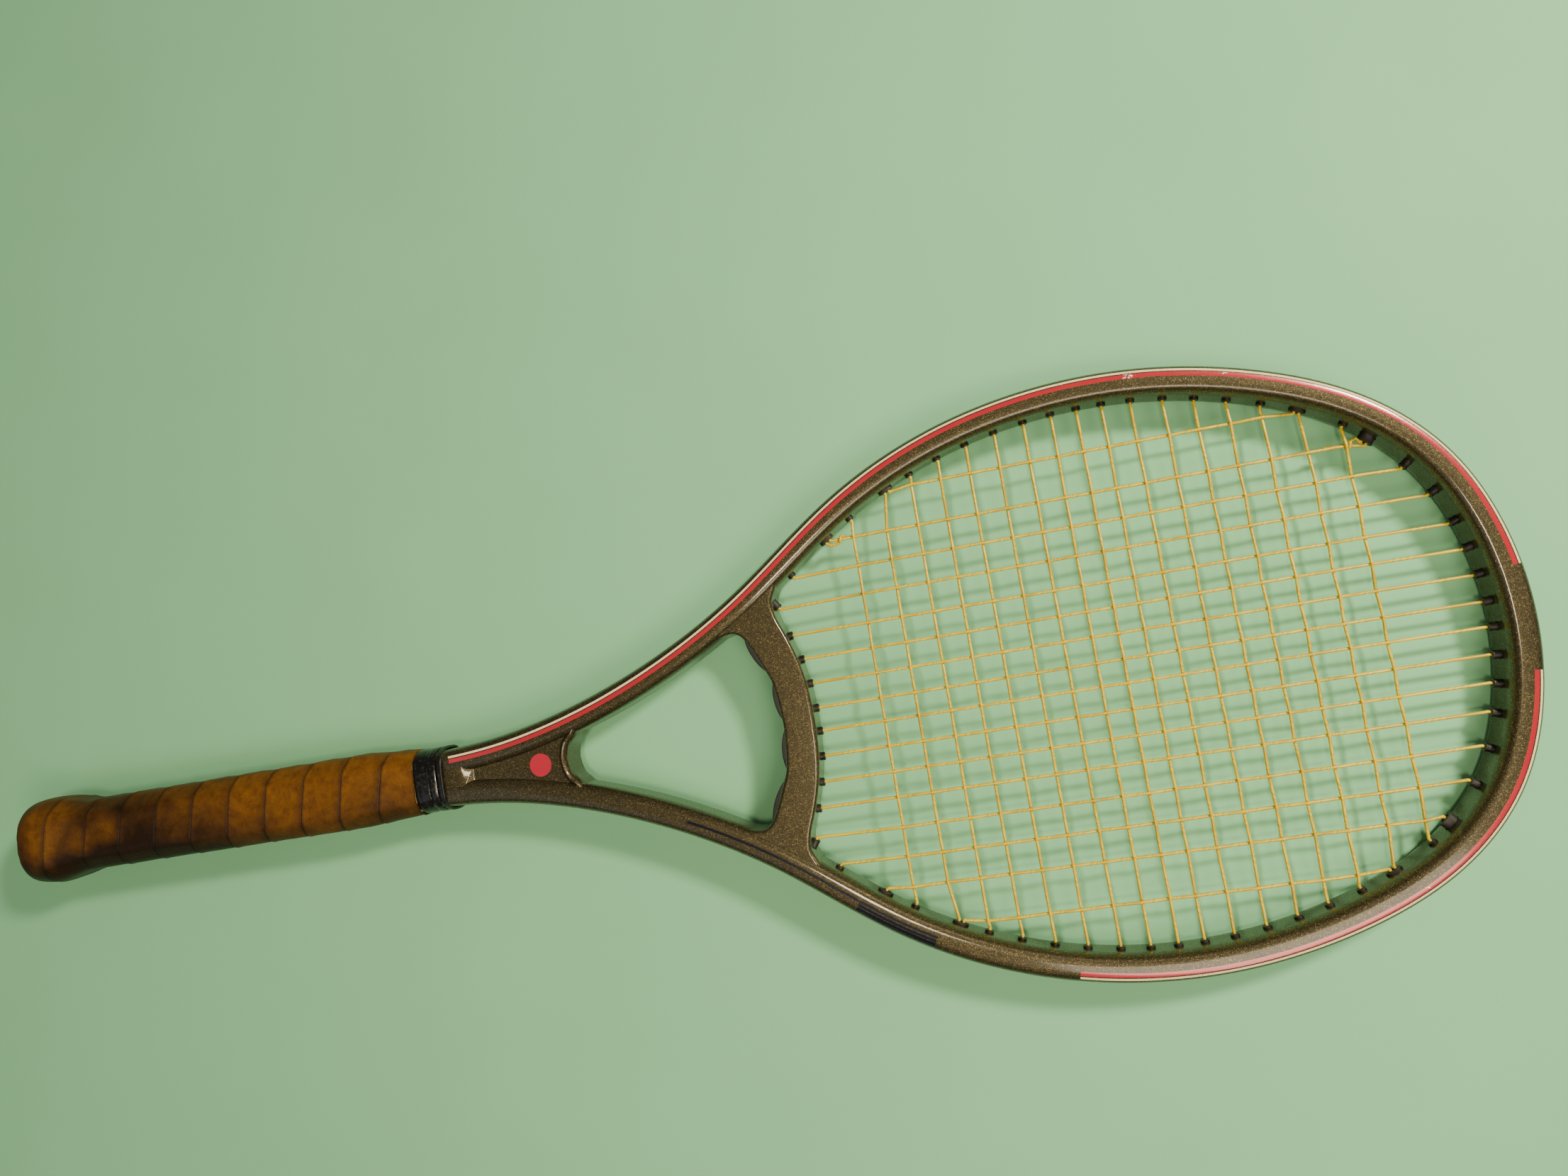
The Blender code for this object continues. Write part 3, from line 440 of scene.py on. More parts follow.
@dataclass
class CentreLine:
    """Line up the +Y leg of the tube to the tip of the head. Past its length it returns down the -Y side."""

    knots: Sequence[Pair] = (
        (20, 6.5), (120, 6.5), (204, 6.7), (245, 8.8), (285, 17.0), (330, 33.4), (375, 58.2), (420, 89.8),
        (465, 110.4), (510, 119.6), (555, 119.2), (600, 109.0), (637, 91.0), (662, 65.6), (675, 35.0),
        (679.4, 0))
    samples: int = 3000

    def __post_init__(self) -> None:
        """Fits a cubic spline to the knots and samples it."""
        points = np.array(self.knots) * MM
        marks = np.concatenate(([0], np.cumsum(np.linalg.norm(np.diff(points, axis=0), axis=1))))
        self.length = float(marks[-1])
        self.places = np.linspace(0, self.length, self.samples)
        self.table = np.column_stack([
            self.spline(marks, points[:, 0], 1, 0), self.spline(marks, points[:, 1], 0, -1)])
        slopes = np.gradient(self.table, self.places, axis=0)
        slopes[-1] = (0, -1)
        self.slopes = slopes / np.linalg.norm(slopes, axis=1)[:, None]
        self.widest = float(self.places[int(np.argmax(self.table[:, 1]))])

    def spline(self, marks: np.ndarray, values: np.ndarray, first: float, last: float) -> np.ndarray:
        """One coordinate of the spline at every sample.

        Args:
            marks: Place of each knot.
            values: The coordinate at each knot.
            first: Slope at the start.
            last: Slope at the end.

        Returns:
            The sampled values.
        """
        count = len(marks)
        gaps = np.diff(marks)
        rises = np.diff(values) / gaps
        matrix = np.zeros((count, count))
        right = np.zeros(count)
        matrix[0, :2] = (2 * gaps[0], gaps[0])
        right[0] = 6 * (rises[0] - first)
        matrix[-1, -2:] = (gaps[-1], 2 * gaps[-1])
        right[-1] = 6 * (last - rises[-1])
        for row in range(1, count - 1):
            matrix[row, row - 1:row + 2] = (gaps[row - 1], 2 * (gaps[row - 1] + gaps[row]), gaps[row])
            right[row] = 6 * (rises[row] - rises[row - 1])
        bends = np.linalg.solve(matrix, right)
        index = np.clip(np.searchsorted(marks, self.places) - 1, 0, count - 2)
        gap = gaps[index]
        after = (self.places - marks[index]) / gap
        before = 1 - after
        curved = (before ** 3 - before) * bends[index] + (after ** 3 - after) * bends[index + 1]
        return before * values[index] + after * values[index + 1] + curved * gap * gap / 6

    def read(self, table: np.ndarray, place: float, flip: int) -> Vector:
        """A table's entry at a place, mirrored past the tip.

        Args:
            table: The sampled places or slopes.
            place: Distance along the line.
            flip: Which coordinate changes sign on the -Y side.

        Returns:
            The vector in plan.
        """
        folded = place if place <= self.length else 2 * self.length - place
        found = [float(np.interp(folded, self.places, table[:, axis])) for axis in (0, 1)]
        if place > self.length:
            found[flip] *= -1
        return Vector((*found, 0))

    def along(self, place: float) -> Vector:
        """Direction of travel at a place."""
        return self.read(self.slopes, place, 0).normalized()

    def outward(self, place: float) -> Vector:
        """Direction away from the inside of the hoop at a place."""
        return UP.cross(self.along(place))

    def offset(self, place: float, out: float = 0.0, z: float = 0.0) -> Vector:
        """The point that lies out from the line, and up from the string bed, at a place."""
        return self.read(self.table, place, 1) + self.outward(place) * out + UP * z

    def other(self, place: float) -> float:
        """The same place on the other side."""
        return 2 * self.length - place

    def where(self, value: Callable[[float], float], low: float, high: float) -> float:
        """The place between low and high where a value changes sign.

        Args:
            value: Gives the value at a place.
            low: Where the search starts.
            high: Where it ends.

        Returns:
            The place.
        """
        rising = value(low) > 0
        for _ in range(40):
            middle = (low + high) / 2
            if (value(middle) > 0) == rising:
                low = middle
            else:
                high = middle
        return (low + high) / 2

    def at_x(self, x: float, reach: float = 0.0) -> float:
        """The place whose point, moved inside by reach, has this X."""
        start = float(np.interp(x - 60 * MM, self.table[:, 0], self.places)) if x > 90 * MM else 0.0
        return self.where(lambda place: self.offset(place, -reach).x - x, start, self.length)

    def at_y(self, y: float, reach: float, low: float, high: float) -> float:
        """The place between low and high whose point, moved inside by reach, has this distance from y = 0."""
        return self.where(lambda place: self.offset(place, -reach).y - abs(y), low, high)

    def locate(self, points: np.ndarray) -> tuple[np.ndarray, np.ndarray]:
        """How far along and how far out points lie.

        Args:
            points: Points, as rows.

        Returns:
            Places on the +Y half, and distances outward.
        """
        folded = np.column_stack([points[:, 0], np.abs(points[:, 1])])
        places = np.zeros(len(points))
        outs = np.zeros(len(points))
        for start in range(0, len(points), 4096):
            part = folded[start:start + 4096]
            gaps = ((part[:, None, :] - self.table[None, ::2, :]) ** 2).sum(2)
            index = gaps.argmin(1) * 2
            away = part - self.table[index]
            slope = self.slopes[index]
            places[start:start + 4096] = self.places[index] + (away * slope).sum(1)
            outs[start:start + 4096] = away[:, 1] * slope[:, 0] - away[:, 0] * slope[:, 1]
        return places, outs


LINE = CentreLine()


@dataclass
class Hole:
    """A string hole of the hoop, from its tip inside the hoop out to the groove."""

    place: float
    reach: float
    wide: bool = False

    def __post_init__(self) -> None:
        """Finds which way the string leaves."""
        self.axis = LINE.outward(self.place)
        self.along = LINE.along(self.place)
        self.tip = LINE.offset(self.place, -self.reach)

    def point(self, out: float, z: float = 0.0, shift: float = 0.0) -> Vector:
        """A point on the string's way, shifted along the hoop."""
        return LINE.offset(self.place) + self.axis * out + self.along * shift + UP * z


@dataclass
class BridgeHole:
    """A string hole through the bridge, along X, out towards the handle."""

    y: float
    back: float
    front: float
    wide: bool = False

    def __post_init__(self) -> None:
        """Finds its two ends."""
        self.axis = Vector((-1, 0, 0))
        self.tip = Vector((self.front, self.y, 0))


@dataclass
class Pass:
    """How a string goes through a hole: shifted along the hoop, and turned up or down in the groove."""

    hole: Hole | BridgeHole
    shift: float = 0.0
    z: float = 0.0


# ---------------------------------------------------------------- string bed

def outline_x(outline: Sequence[Pair], y: float) -> float:
    """X of an outline where it passes y."""
    points = sorted(outline, key=lambda point: point[1])
    return float(np.interp(y, [point[1] for point in points], [point[0] for point in points]))


BRIDGE_FRONT = [(x * MM, y * MM) for x, y in (
    (396.2, 0), (395.7, 12), (394.4, 22), (392.2, 31), (389.2, 40), (386.4, 47.5), (385.6, 54), (388.6, 61))]
BRIDGE_BACK = [(x * MM, y * MM) for x, y in (
    (359.5, 42.2), (362.8, 43.0), (366.0, 43.2), (368.8, 41.9), (371.2, 39.2), (373.8, 34.3), (378.1, 24.4),
    (380.1, 19.2), (382, 2.1), (382, 0))]


@dataclass
class StringBed:
    """One length of yellow nylon string: 16 mains and 17 crosses, woven, and tied at two mains.

    Offsets are the mains' distances from the middle, and steps the gaps between the crosses, in millimetres.
    """

    offsets: Sequence[float] = (5.1, 16.2, 27.3, 38.5, 51.5, 64.2, 77.2, 95.4)
    first_cross: float = 425.5
    steps: Sequence[float] = (15, 14, 13, 13, 13, 13, 12, 11, 10.5, 12, 13, 12.5, 12.5, 13, 15, 14.5)
    radius: float = 0.675 * MM
    main_weave: float = 0.45 * MM
    cross_weave: float = 0.92 * MM
    side_reach: float = 7.2 * MM
    head_reach: float = 9.4 * MM
    shoulder_reach: float = 12.4 * MM
    bridge_nub: float = 1.8 * MM
    run: float = 5.13 * MM
    floor: float = 4.2 * MM
    lane: float = 1.5 * MM
    bypass: float = 0.75 * MM
    pair: float = 1.1 * MM
    turn: float = 0.8 * MM
    run_step: float = 9 * MM
    pad_floor: float = 0.35 * MM
    pad_gap: float = 0.3 * MM
    tail: float = 8 * MM
    tie_start: float = 2.2 * MM
    tie_reach: float = 5 * MM
    tie_pitch: float = 2.1 * MM
    wraps: int = 12
    bend: float = 1.1 * MM
    clear: float = 2.5 * MM
    head: list = field(default_factory=list)
    throat: list = field(default_factory=list)
    left: list = field(default_factory=list)
    right: list = field(default_factory=list)

    def __post_init__(self) -> None:
        """Lays out the mains, the crosses and their holes."""
        self.mains = [y * MM for y in reversed(self.offsets)] + [-y * MM for y in self.offsets]
        self.crosses = [
            (self.first_cross + sum(self.steps[:index])) * MM for index in range(len(self.steps) + 1)]
        self.last_main = len(self.mains) - 1
        self.last_cross = len(self.crosses) - 1
        self.shared = (1, self.last_cross - 1)
        throat_start = LINE.at_x(330 * MM)
        for index, x in enumerate(self.crosses):
            place = LINE.at_x(x, self.side_reach)
            wide = index in self.shared
            if wide:
                span = (LINE.widest, LINE.length) if index > 1 else (throat_start, LINE.widest)
                place = (place + LINE.at_y(self.mains[0], self.side_reach, *span)) / 2
            self.left.append(Hole(place, self.side_reach, wide))
            self.right.append(Hole(LINE.other(place), self.side_reach, wide))
        for index, y in enumerate(self.mains):
            edge = min(index, self.last_main - index)
            sides = self.left if y > 0 else self.right
            if edge == 0:
                self.throat.append(sides[self.shared[0]])
                self.head.append(sides[self.shared[1]])
                continue
            place = LINE.at_y(y, self.head_reach, LINE.widest, LINE.length)
            self.head.append(Hole(place if y > 0 else LINE.other(place), self.head_reach, edge == 1))
            if edge > 3:
                front = outline_x(BRIDGE_FRONT, abs(y)) + self.bridge_nub
                self.throat.append(BridgeHole(y, outline_x(BRIDGE_BACK, abs(y)), front))
                continue
            reach = self.side_reach if edge < 3 else self.shoulder_reach
            place = LINE.at_y(y, reach, throat_start, LINE.widest)
            self.throat.append(Hole(place if y > 0 else LINE.other(place), reach, edge == 1))

    def hoop_holes(self) -> list[Hole]:
        """Every hole of the hoop, once."""
        ends = [hole for hole in self.throat[1:-1] if isinstance(hole, Hole)]
        return self.left + self.right + self.head[1:-1] + ends

    def bridge_holes(self) -> list[BridgeHole]:
        """The bridge's own holes, from left to right."""
        return [hole for hole in self.throat if isinstance(hole, BridgeHole)]

    def over(self, main: int, cross: int) -> int:
        """1 where the cross lies in front of the main, else -1."""
        return 1 if (main + cross) % 2 else -1

    def way_out(self, used: Pass, toward: int) -> list[Vector]:
        """From a hole's inner end to the run outside it.

        Args:
            used: How the string goes through the hole.
            toward: 1 if the run goes on up the line, else -1.

        Returns:
            Points from the inside to the groove.
        """
        hole = used.hole
        inside = hole.tip - hole.axis * self.turn + hole.along * used.shift
        return [inside, hole.point(0, 0.1 * used.z, used.shift), hole.point(self.floor, 0.3 * used.z, used.shift),
                hole.point(self.run, used.z, used.shift + toward * self.turn)]

    def outer_run(self, first: Pass, second: Pass, lane: float = 0.0) -> list[Vector]:
        """From one hole, along the groove, into another.

        Args:
            first: The hole that it leaves by.
            second: The hole that it enters.
            lane: How far off the middle of the groove it runs, or 0.

        Returns:
            Points of the run.
        """
        start, end = first.hole.place, second.hole.place
        toward = 1 if end > start else -1
        points = self.way_out(first, toward)
        count = max(1, math.ceil(abs(end - start) / self.run_step))
        for step in range(1, count):
            share = step / count
            z = lane if lane else first.z + (second.z - first.z) * share
            points.append(LINE.offset(start + (end - start) * share, self.run, z))
        return points + self.way_out(second, -toward)[::-1]

    def pad_loop(self, first: BridgeHole, second: BridgeHole) -> list[Vector]:
        """From one bridge hole, round the back of its pad, into the next.

        Args:
            first: The hole that it leaves by.
            second: The hole that it enters.

        Returns:
            Points of the loop.
        """
        start, end = (Vector((hole.back, hole.y, 0)) for hole in (first, second))
        forward = (end - start).normalized()
        backward = forward.cross(UP)
        mouth = Vector((-self.pad_floor, 0, 0))
        away = backward * (self.pad_floor + self.pad_gap + self.radius)
        return [
            first.tip + Vector((self.turn, 0, 0)), start + mouth, start + away + forward * self.turn,
            end + away - forward * self.turn, end + mouth, second.tip + Vector((self.turn, 0, 0))]

    def main_pass(self, index: int, at_head: bool) -> Pass:
        """How a main goes through its hole.

        Args:
            index: The main, from the left.
            at_head: Whether the hole is the one at the head.

        Returns:
            The pass.
        """
        hole = (self.head if at_head else self.throat)[index]
        if index in (0, self.last_main):
            side = 1 if index == 0 else -1
            return Pass(hole, side * self.pair * (-1 if at_head else 1), self.lane)
        if index == 1:
            return Pass(hole, self.pair, -self.bypass if at_head else self.lane)
        return Pass(hole)

    def cross_pass(self, index: int, side: int) -> Pass:
        """How a cross goes through its hole, past the main that shares it.

        Args:
            index: The cross, from the throat.
            side: 1 for the +Y side, else -1.

        Returns:
            The pass.
        """
        hole = (self.left if side > 0 else self.right)[index]
        if index not in self.shared:
            return Pass(hole)
        return Pass(hole, side * self.pair * (-1 if index == self.shared[0] else 1), -self.bypass)

    def main_points(self, index: int) -> list[Vector]:
        """A main from throat to head, bent a little by the crosses that it meets.

        Args:
            index: The main, from the left.

        Returns:
            A point at each cross.
        """
        low = self.throat[index].tip.x + self.clear
        high = self.head[index].tip.x - self.clear
        points = []
        for number, x in enumerate(self.crosses):
            if low < x < high and not (index in (0, self.last_main) and number in self.shared):
                points.append(Vector((x, self.mains[index], -self.main_weave * self.over(index, number))))
        return points

    def cross_points(self, index: int) -> list[Vector]:
        """A cross from left to right, over and under the mains that it meets.

        Args:
            index: The cross, from the throat.

        Returns:
            A point at each main.
        """
        reach = self.left[index].tip.y - self.clear
        points = []
        for number, y in enumerate(self.mains):
            if abs(y) < reach and not (index in self.shared and number in (0, self.last_main)):
                points.append(Vector((self.crosses[index], y, self.cross_weave * self.over(number, index))))
        return points

    def hitch(self, tip: Vector, side: int, direction: int) -> list[Vector]:
        """The string's end, turned once round main 2, with its tail behind that main.

        Args:
            tip: Where the end leaves the hole.
            side: 1 if it leaves on the +Y side of the main, else -1.
            direction: 1 towards the head, -1 towards the throat.

        Returns:
            Points from the hole to the cut end.
        """
        start = 0 if side > 0 else math.pi
        end = math.radians(285 if side > 0 else -75)
        reach = 2 * self.radius + 0.05 * MM
        centre = Vector((tip.x + direction * self.tie_reach, self.mains[1], 0))
        points = [Vector((tip.x + direction * self.tie_start, self.mains[1] + side * self.tie_start, 0))]
        for step in range(1, self.wraps + 1):
            angle = start + (end - start) * step / self.wraps
            shift = direction * self.tie_pitch * step / self.wraps
            points.append(centre + Vector((shift, reach * math.cos(angle), reach * math.sin(angle))))
        return points + [points[-1] + Vector((direction * self.tail, 0.2 * MM * side, -0.1 * MM))]

    def route(self) -> list[Vector]:
        """The whole string from its short side's end to its long side's end.

        Returns:
            Its points, in order.
        """
        tie_head = Pass(self.head[1], -self.pair, self.lane)
        tie_throat = Pass(self.throat[1], -self.pair, -self.lane)
        route = self.hitch(self.head[1].tip, 1, -1)[::-1]
        route += self.outer_run(tie_head, self.main_pass(0, True), self.lane)
        for index in range(self.last_main):
            at_head = index % 2 == 1
            route += self.main_points(index)[::1 if at_head else -1]
            first, second = self.main_pass(index, at_head), self.main_pass(index + 1, at_head)
            if isinstance(first.hole, BridgeHole):
                route += self.pad_loop(first.hole, second.hole)
            else:
                crowded = not at_head and index in (0, self.last_main - 1)
                route += self.outer_run(first, second, self.lane if crowded else 0.0)
        route += self.main_points(self.last_main)
        last = self.main_pass(self.last_main, True)
        route += self.outer_run(last, self.cross_pass(self.last_cross, -1), self.lane)
        for index in range(self.last_cross, -1, -1):
            side = 1 if (self.last_cross - index) % 2 == 0 else -1
            route += self.cross_points(index)[::-side]
            if index > 0:
                route += self.outer_run(self.cross_pass(index, side), self.cross_pass(index - 1, side))
        route += self.outer_run(self.cross_pass(0, 1), tie_throat, -self.lane)
        return route + self.hitch(self.throat[1].tip, -1, 1)

    def tightened(self, route: Sequence[Vector]) -> np.ndarray:
        """Adds points near both ends of each long stretch, so that it runs straight between bends.

        Args:
            route: The string's points.

        Returns:
            The points with the added ones, as rows.
        """
        points = [route[0]]
        for start, end in zip(route, route[1:]):
            length = (end - start).length
            if length > 4 * self.bend:
                near = self.bend / length
                points += [start + (end - start) * share for share in (near, 1 - near)]
            points.append(end)
        return np.array([tuple(point) for point in points])

    def build(self) -> bpy.types.Object:
        """Makes the string, with its length along the spline kept at each point.

        Returns:
            The string, as a tube with closed ends.
        """
        path = smooth_through(self.tightened(self.route()), 4)
        gaps = np.linalg.norm(np.diff(path, axis=0), axis=1)
        path = path[np.concatenate(([True], gaps > 0.02 * MM))]
        item = line_of("string_bed", path, flat=False)
        item.data.bevel_depth = self.radius
        item.data.bevel_resolution = 2
        item.data.use_fill_caps = True
        pick(item)
        bpy.ops.object.convert(target="MESH")
        item = bpy.context.object
        count = len(item.data.vertices)
        ring = count // len(path)
        marks = np.concatenate(([0], np.cumsum(np.linalg.norm(np.diff(path, axis=0), axis=1))))
        rings = np.minimum(np.arange(count) // ring, len(path) - 1)
        turns = (np.arange(count) % ring) / ring * math.tau
        keep_lay(item, (marks[rings], np.cos(turns), np.sin(turns)))
        LOG.info("string is %.2f m long, %d points, %d to a ring", marks[-1], len(path), ring)
        pick(item)
        bpy.ops.object.shade_smooth()
        return item


# ---------------------------------------------------------------- hoop, bridge and wedge

@dataclass
class HoopTube:
    """Hairpin carbon tube: two legs in the handle, then the throat and the hoop with its string groove."""

    wide: float = 6.0 * MM
    deep: float = 10.5 * MM
    shoulder: Sequence[Pair] = ((6.0, 4.2), (6.0, 7.7), (5.15, 10.15), (2.6, 10.5))
    groove_start: float = 360 * MM
    groove_half: float = 3.5 * MM
    groove_floor: float = 3.2 * MM
    hole: float = 1.95 * MM
    hole_stretch: float = 1.85
    hole_past: float = 2 * MM
    bury: float = -0.25 * MM
    stations: int = 190

    def section(self, grow: float = 0.0, steps: int = 6) -> list[Pair]:
        """The tube's soft-cornered section.

        Args:
            grow: How much wider it is all round.
            steps: Pieces in each shoulder.

        Returns:
            Points as (out, z).
        """
        knots = np.array(self.shoulder) * MM
        quarter = []
        for share in np.linspace(0, 1, steps + 1):
            rest = 1 - share
            point = (rest ** 3 * knots[0] + 3 * rest ** 2 * share * knots[1]
                     + 3 * rest * share ** 2 * knots[2] + share ** 3 * knots[3])
            quarter.append((point[0] + grow * min(1, 2 * rest + 0.2), point[1] + grow * min(1, 1.6 * share)))
        quarter.append((1.2 * MM, self.deep + 0.03 * MM + grow))
        return mirrored(quarter + [(-out, z) for out, z in reversed(quarter)])

    def path(self, start: float, end: float, count: int) -> list[Vector]:
        """Points of the centre line in plan."""
        return [LINE.offset(place).to_2d() for place in np.linspace(start, end, count)]

    def rods(self, name: str, holes: Sequence[Hole], radius: float, low: float, high: float) -> bpy.types.Object:
        """Round or stretched rods through the wall at each hole.

        Args:
            name: Name of the tool.
            holes: The holes.
            radius: Their radius.
            low: How far inside the centre line they start.
            high: How far outside it they end.

        Returns:
            All the rods as one object.
        """
        stands = []
        for hole in holes:
            start = max(low, hole.reach + self.hole_past)
            stretch = self.hole_stretch if hole.wide else 1.0
            stands.append((hole.point(-start), hole.axis, start + high, stretch))
        return joined(name, copies([(radius, 0), (radius, 1)], 20, stands))

    def seat(self, item: bpy.types.Object, low_x: float, high_x: float) -> None:
        """Cuts both legs out of a piece that is moulded to them.

        Args:
            item: The piece.
            low_x: Where the cut starts.
            high_x: Where it ends.
        """
        low, high = LINE.at_x(low_x), LINE.at_x(high_x)
        for start, end in ((low, high), (LINE.other(high), LINE.other(low))):
            combine(item, sweep("seat_tool", self.path(start, end, 40), self.section(self.bury)))

    def build(self, bed: StringBed) -> bpy.types.Object:
        """Makes the tube with its groove and holes.

        Args:
            bed: The string bed, for its holes.

        Returns:
            The tube.
        """
        whole = 2 * LINE.length
        item = sweep("hoop_tube_visual", self.path(0, whole, self.stations * 2), self.section())
        first = LINE.at_x(self.groove_start)
        spacing = whole / (self.stations * 2 - 1)
        first = round(first / spacing) * spacing
        count = round((whole - 2 * first) / spacing) + 1
        half, low, high = self.groove_half, self.groove_floor, self.wide + 4 * MM
        box = [(low, -half), (high, -half), (high, half), (low, half)]
        combine(item, sweep("groove_tool", self.path(first, whole - first, count), box))
        combine(item, self.rods("hole_tool", bed.hoop_holes(), self.hole, self.wide + self.hole_past, self.wide))
        clean(item)
        self.mark(item)
        return shaded(item)

    def mark(self, item: bpy.types.Object) -> None:
        """Keeps, at each point, its place round the hoop and its depth from the outer edge, for the stripes.

        The stripes of the back face are those of the front turned over about the handle.

        Args:
            item: The tube.
        """
        points = points_of(item)
        places, outs = LINE.locate(points)
        far_side = points[:, 1] * np.where(points[:, 2] >= 0, 1, -1) < 0
        places = np.where(far_side, 2 * LINE.length - places, places)
        keep_lay(item, (places, self.wide - outs, points[:, 2]))


@dataclass
class ThroatBridge:
    """Moulded yoke that closes the bottom of the head."""

    depth: float = 19 * MM
    edge: float = 1.6 * MM
    inside: float = 1 * MM
    sides: Sequence[float] = (389, 380, 371, 361)
    seat_span: Pair = (335 * MM, 425 * MM)
    bore_past: float = 4 * MM
    bore_length: float = 30 * MM

    def build(self, hoop: HoopTube, bed: StringBed) -> bpy.types.Object:
        """Makes the bridge.

        Args:
            hoop: The tube that it is moulded to.
            bed: The string bed, for its holes.

        Returns:
            The bridge.
        """
        half = [tuple(point) for point in smooth_through(BRIDGE_FRONT, 4)]
        for x in self.sides:
            point = LINE.offset(LINE.at_x(x * MM))
            half.append((point.x, point.y + self.inside))
        half += [tuple(point) for point in smooth_through(BRIDGE_BACK, 5)]
        item = plate("throat_bridge_visual", mirrored(half), self.depth, self.edge)
        hoop.seat(item, *self.seat_span)
        past = self.bore_past
        stands = [(hole.tip + Vector((past, 0, 0)), hole.axis, self.bore_length) for hole in bed.bridge_holes()]
        for hole in bed.throat:
            if isinstance(hole, Hole) and hole.reach == bed.shoulder_reach:
                stands.append((hole.point(-hole.reach - past), hole.axis, hole.reach + past))
        combine(item, joined("bridge_hole_tool", copies([(hoop.hole, 0), (hoop.hole, 1)], 20, stands)))
        return shaded(clean(item))


@dataclass
class ThroatWedge:
    """Web between the legs, with a raised lip round its open end."""

    depth: float = 16.4 * MM
    tip: float = 229 * MM
    apex: float = 281.6 * MM
    arc: Sequence[Pair] = ((0, 0), (0.45, 3.2), (1.2, 6), (2.4, 8.2), (3.9, 9.8), (5.3, 11.2), (7.4, 12.9))
    lip: float = 2.1 * MM
    lip_height: float = 8.6 * MM
    legs: Sequence[float] = (291, 280, 270, 260, 250, 240)
    seat_span: Pair = (205 * MM, 320 * MM)
    filled: Sequence[Pair] = ((217, 5.6), (232, 6.2), (238, 6.8))
    filled_to: float = 231 * MM
    slope_end: float = 237 * MM
    filled_height: float = 10.4 * MM
    filled_root: float = 0.3 * MM
    lip_end: float = 1.5 * MM
    lip_root: float = 3 * MM
    lip_crown: float = 1.3 * MM

    def filler(self) -> bpy.types.Object:
        """Makes the paste that fills the gap between the legs, flush with them, and slopes into the recess.

        Returns:
            The filler, which is joined to the web.
        """
        outline = mirrored([(x * MM, y * MM) for x, y in self.filled])
        item = plate("throat_filler", outline, 2 * self.filled_height)
        drop = self.filled_height - (self.depth / 2 - self.filled_root)
        for side in (1, -1):
            slope = Vector((drop, 0, side * (self.slope_end - self.filled_to))).normalized()
            pick(item)
            bpy.ops.object.mode_set(mode="EDIT")
            bpy.ops.mesh.select_all(action="SELECT")
            bpy.ops.mesh.bisect(plane_co=(self.filled_to, 0, side * self.filled_height), use_fill=True,
                                clear_outer=True, plane_no=slope)
            bpy.ops.object.mode_set(mode="OBJECT")
        return clean(item)

    def build(self, hoop: HoopTube) -> bpy.types.Object:
        """Makes the web and its lip.

        Args:
            hoop: The tube that it is moulded to.

        Returns:
            The wedge.
        """
        arc = [(self.apex + x * MM, y * MM) for x, y in self.arc]
        legs = [LINE.offset(LINE.at_x(x)) for x in (*(x * MM for x in self.legs), self.tip)]
        half = arc + [(point.x, point.y) for point in legs] + [(legs[-1].x, 0)]
        item = plate("throat_wedge_visual", mirrored(half), self.depth)
        combine(item, self.filler(), "UNION")
        lip_line = [(x - self.lip, y) for x, y in arc[:-1]] + [(arc[-1][0] - self.lip, arc[-1][1] + self.lip_end)]
        lip_path = smooth_through([(x, -y) for x, y in reversed(lip_line) if y > 0] + lip_line, 4)
        height, deep = self.lip_height + self.lip_crown, self.lip_height - self.lip_root
        bow = [(self.lip * math.cos(turn), deep + (height - deep) * math.sin(turn))
               for turn in np.linspace(0, math.pi, 9)]
        combine(item, sweep("lip_tool", lip_path, mirrored(bow)), "UNION")
        hoop.seat(item, *self.seat_span)
        return shaded(clean(item))


# ---------------------------------------------------------------- grommets

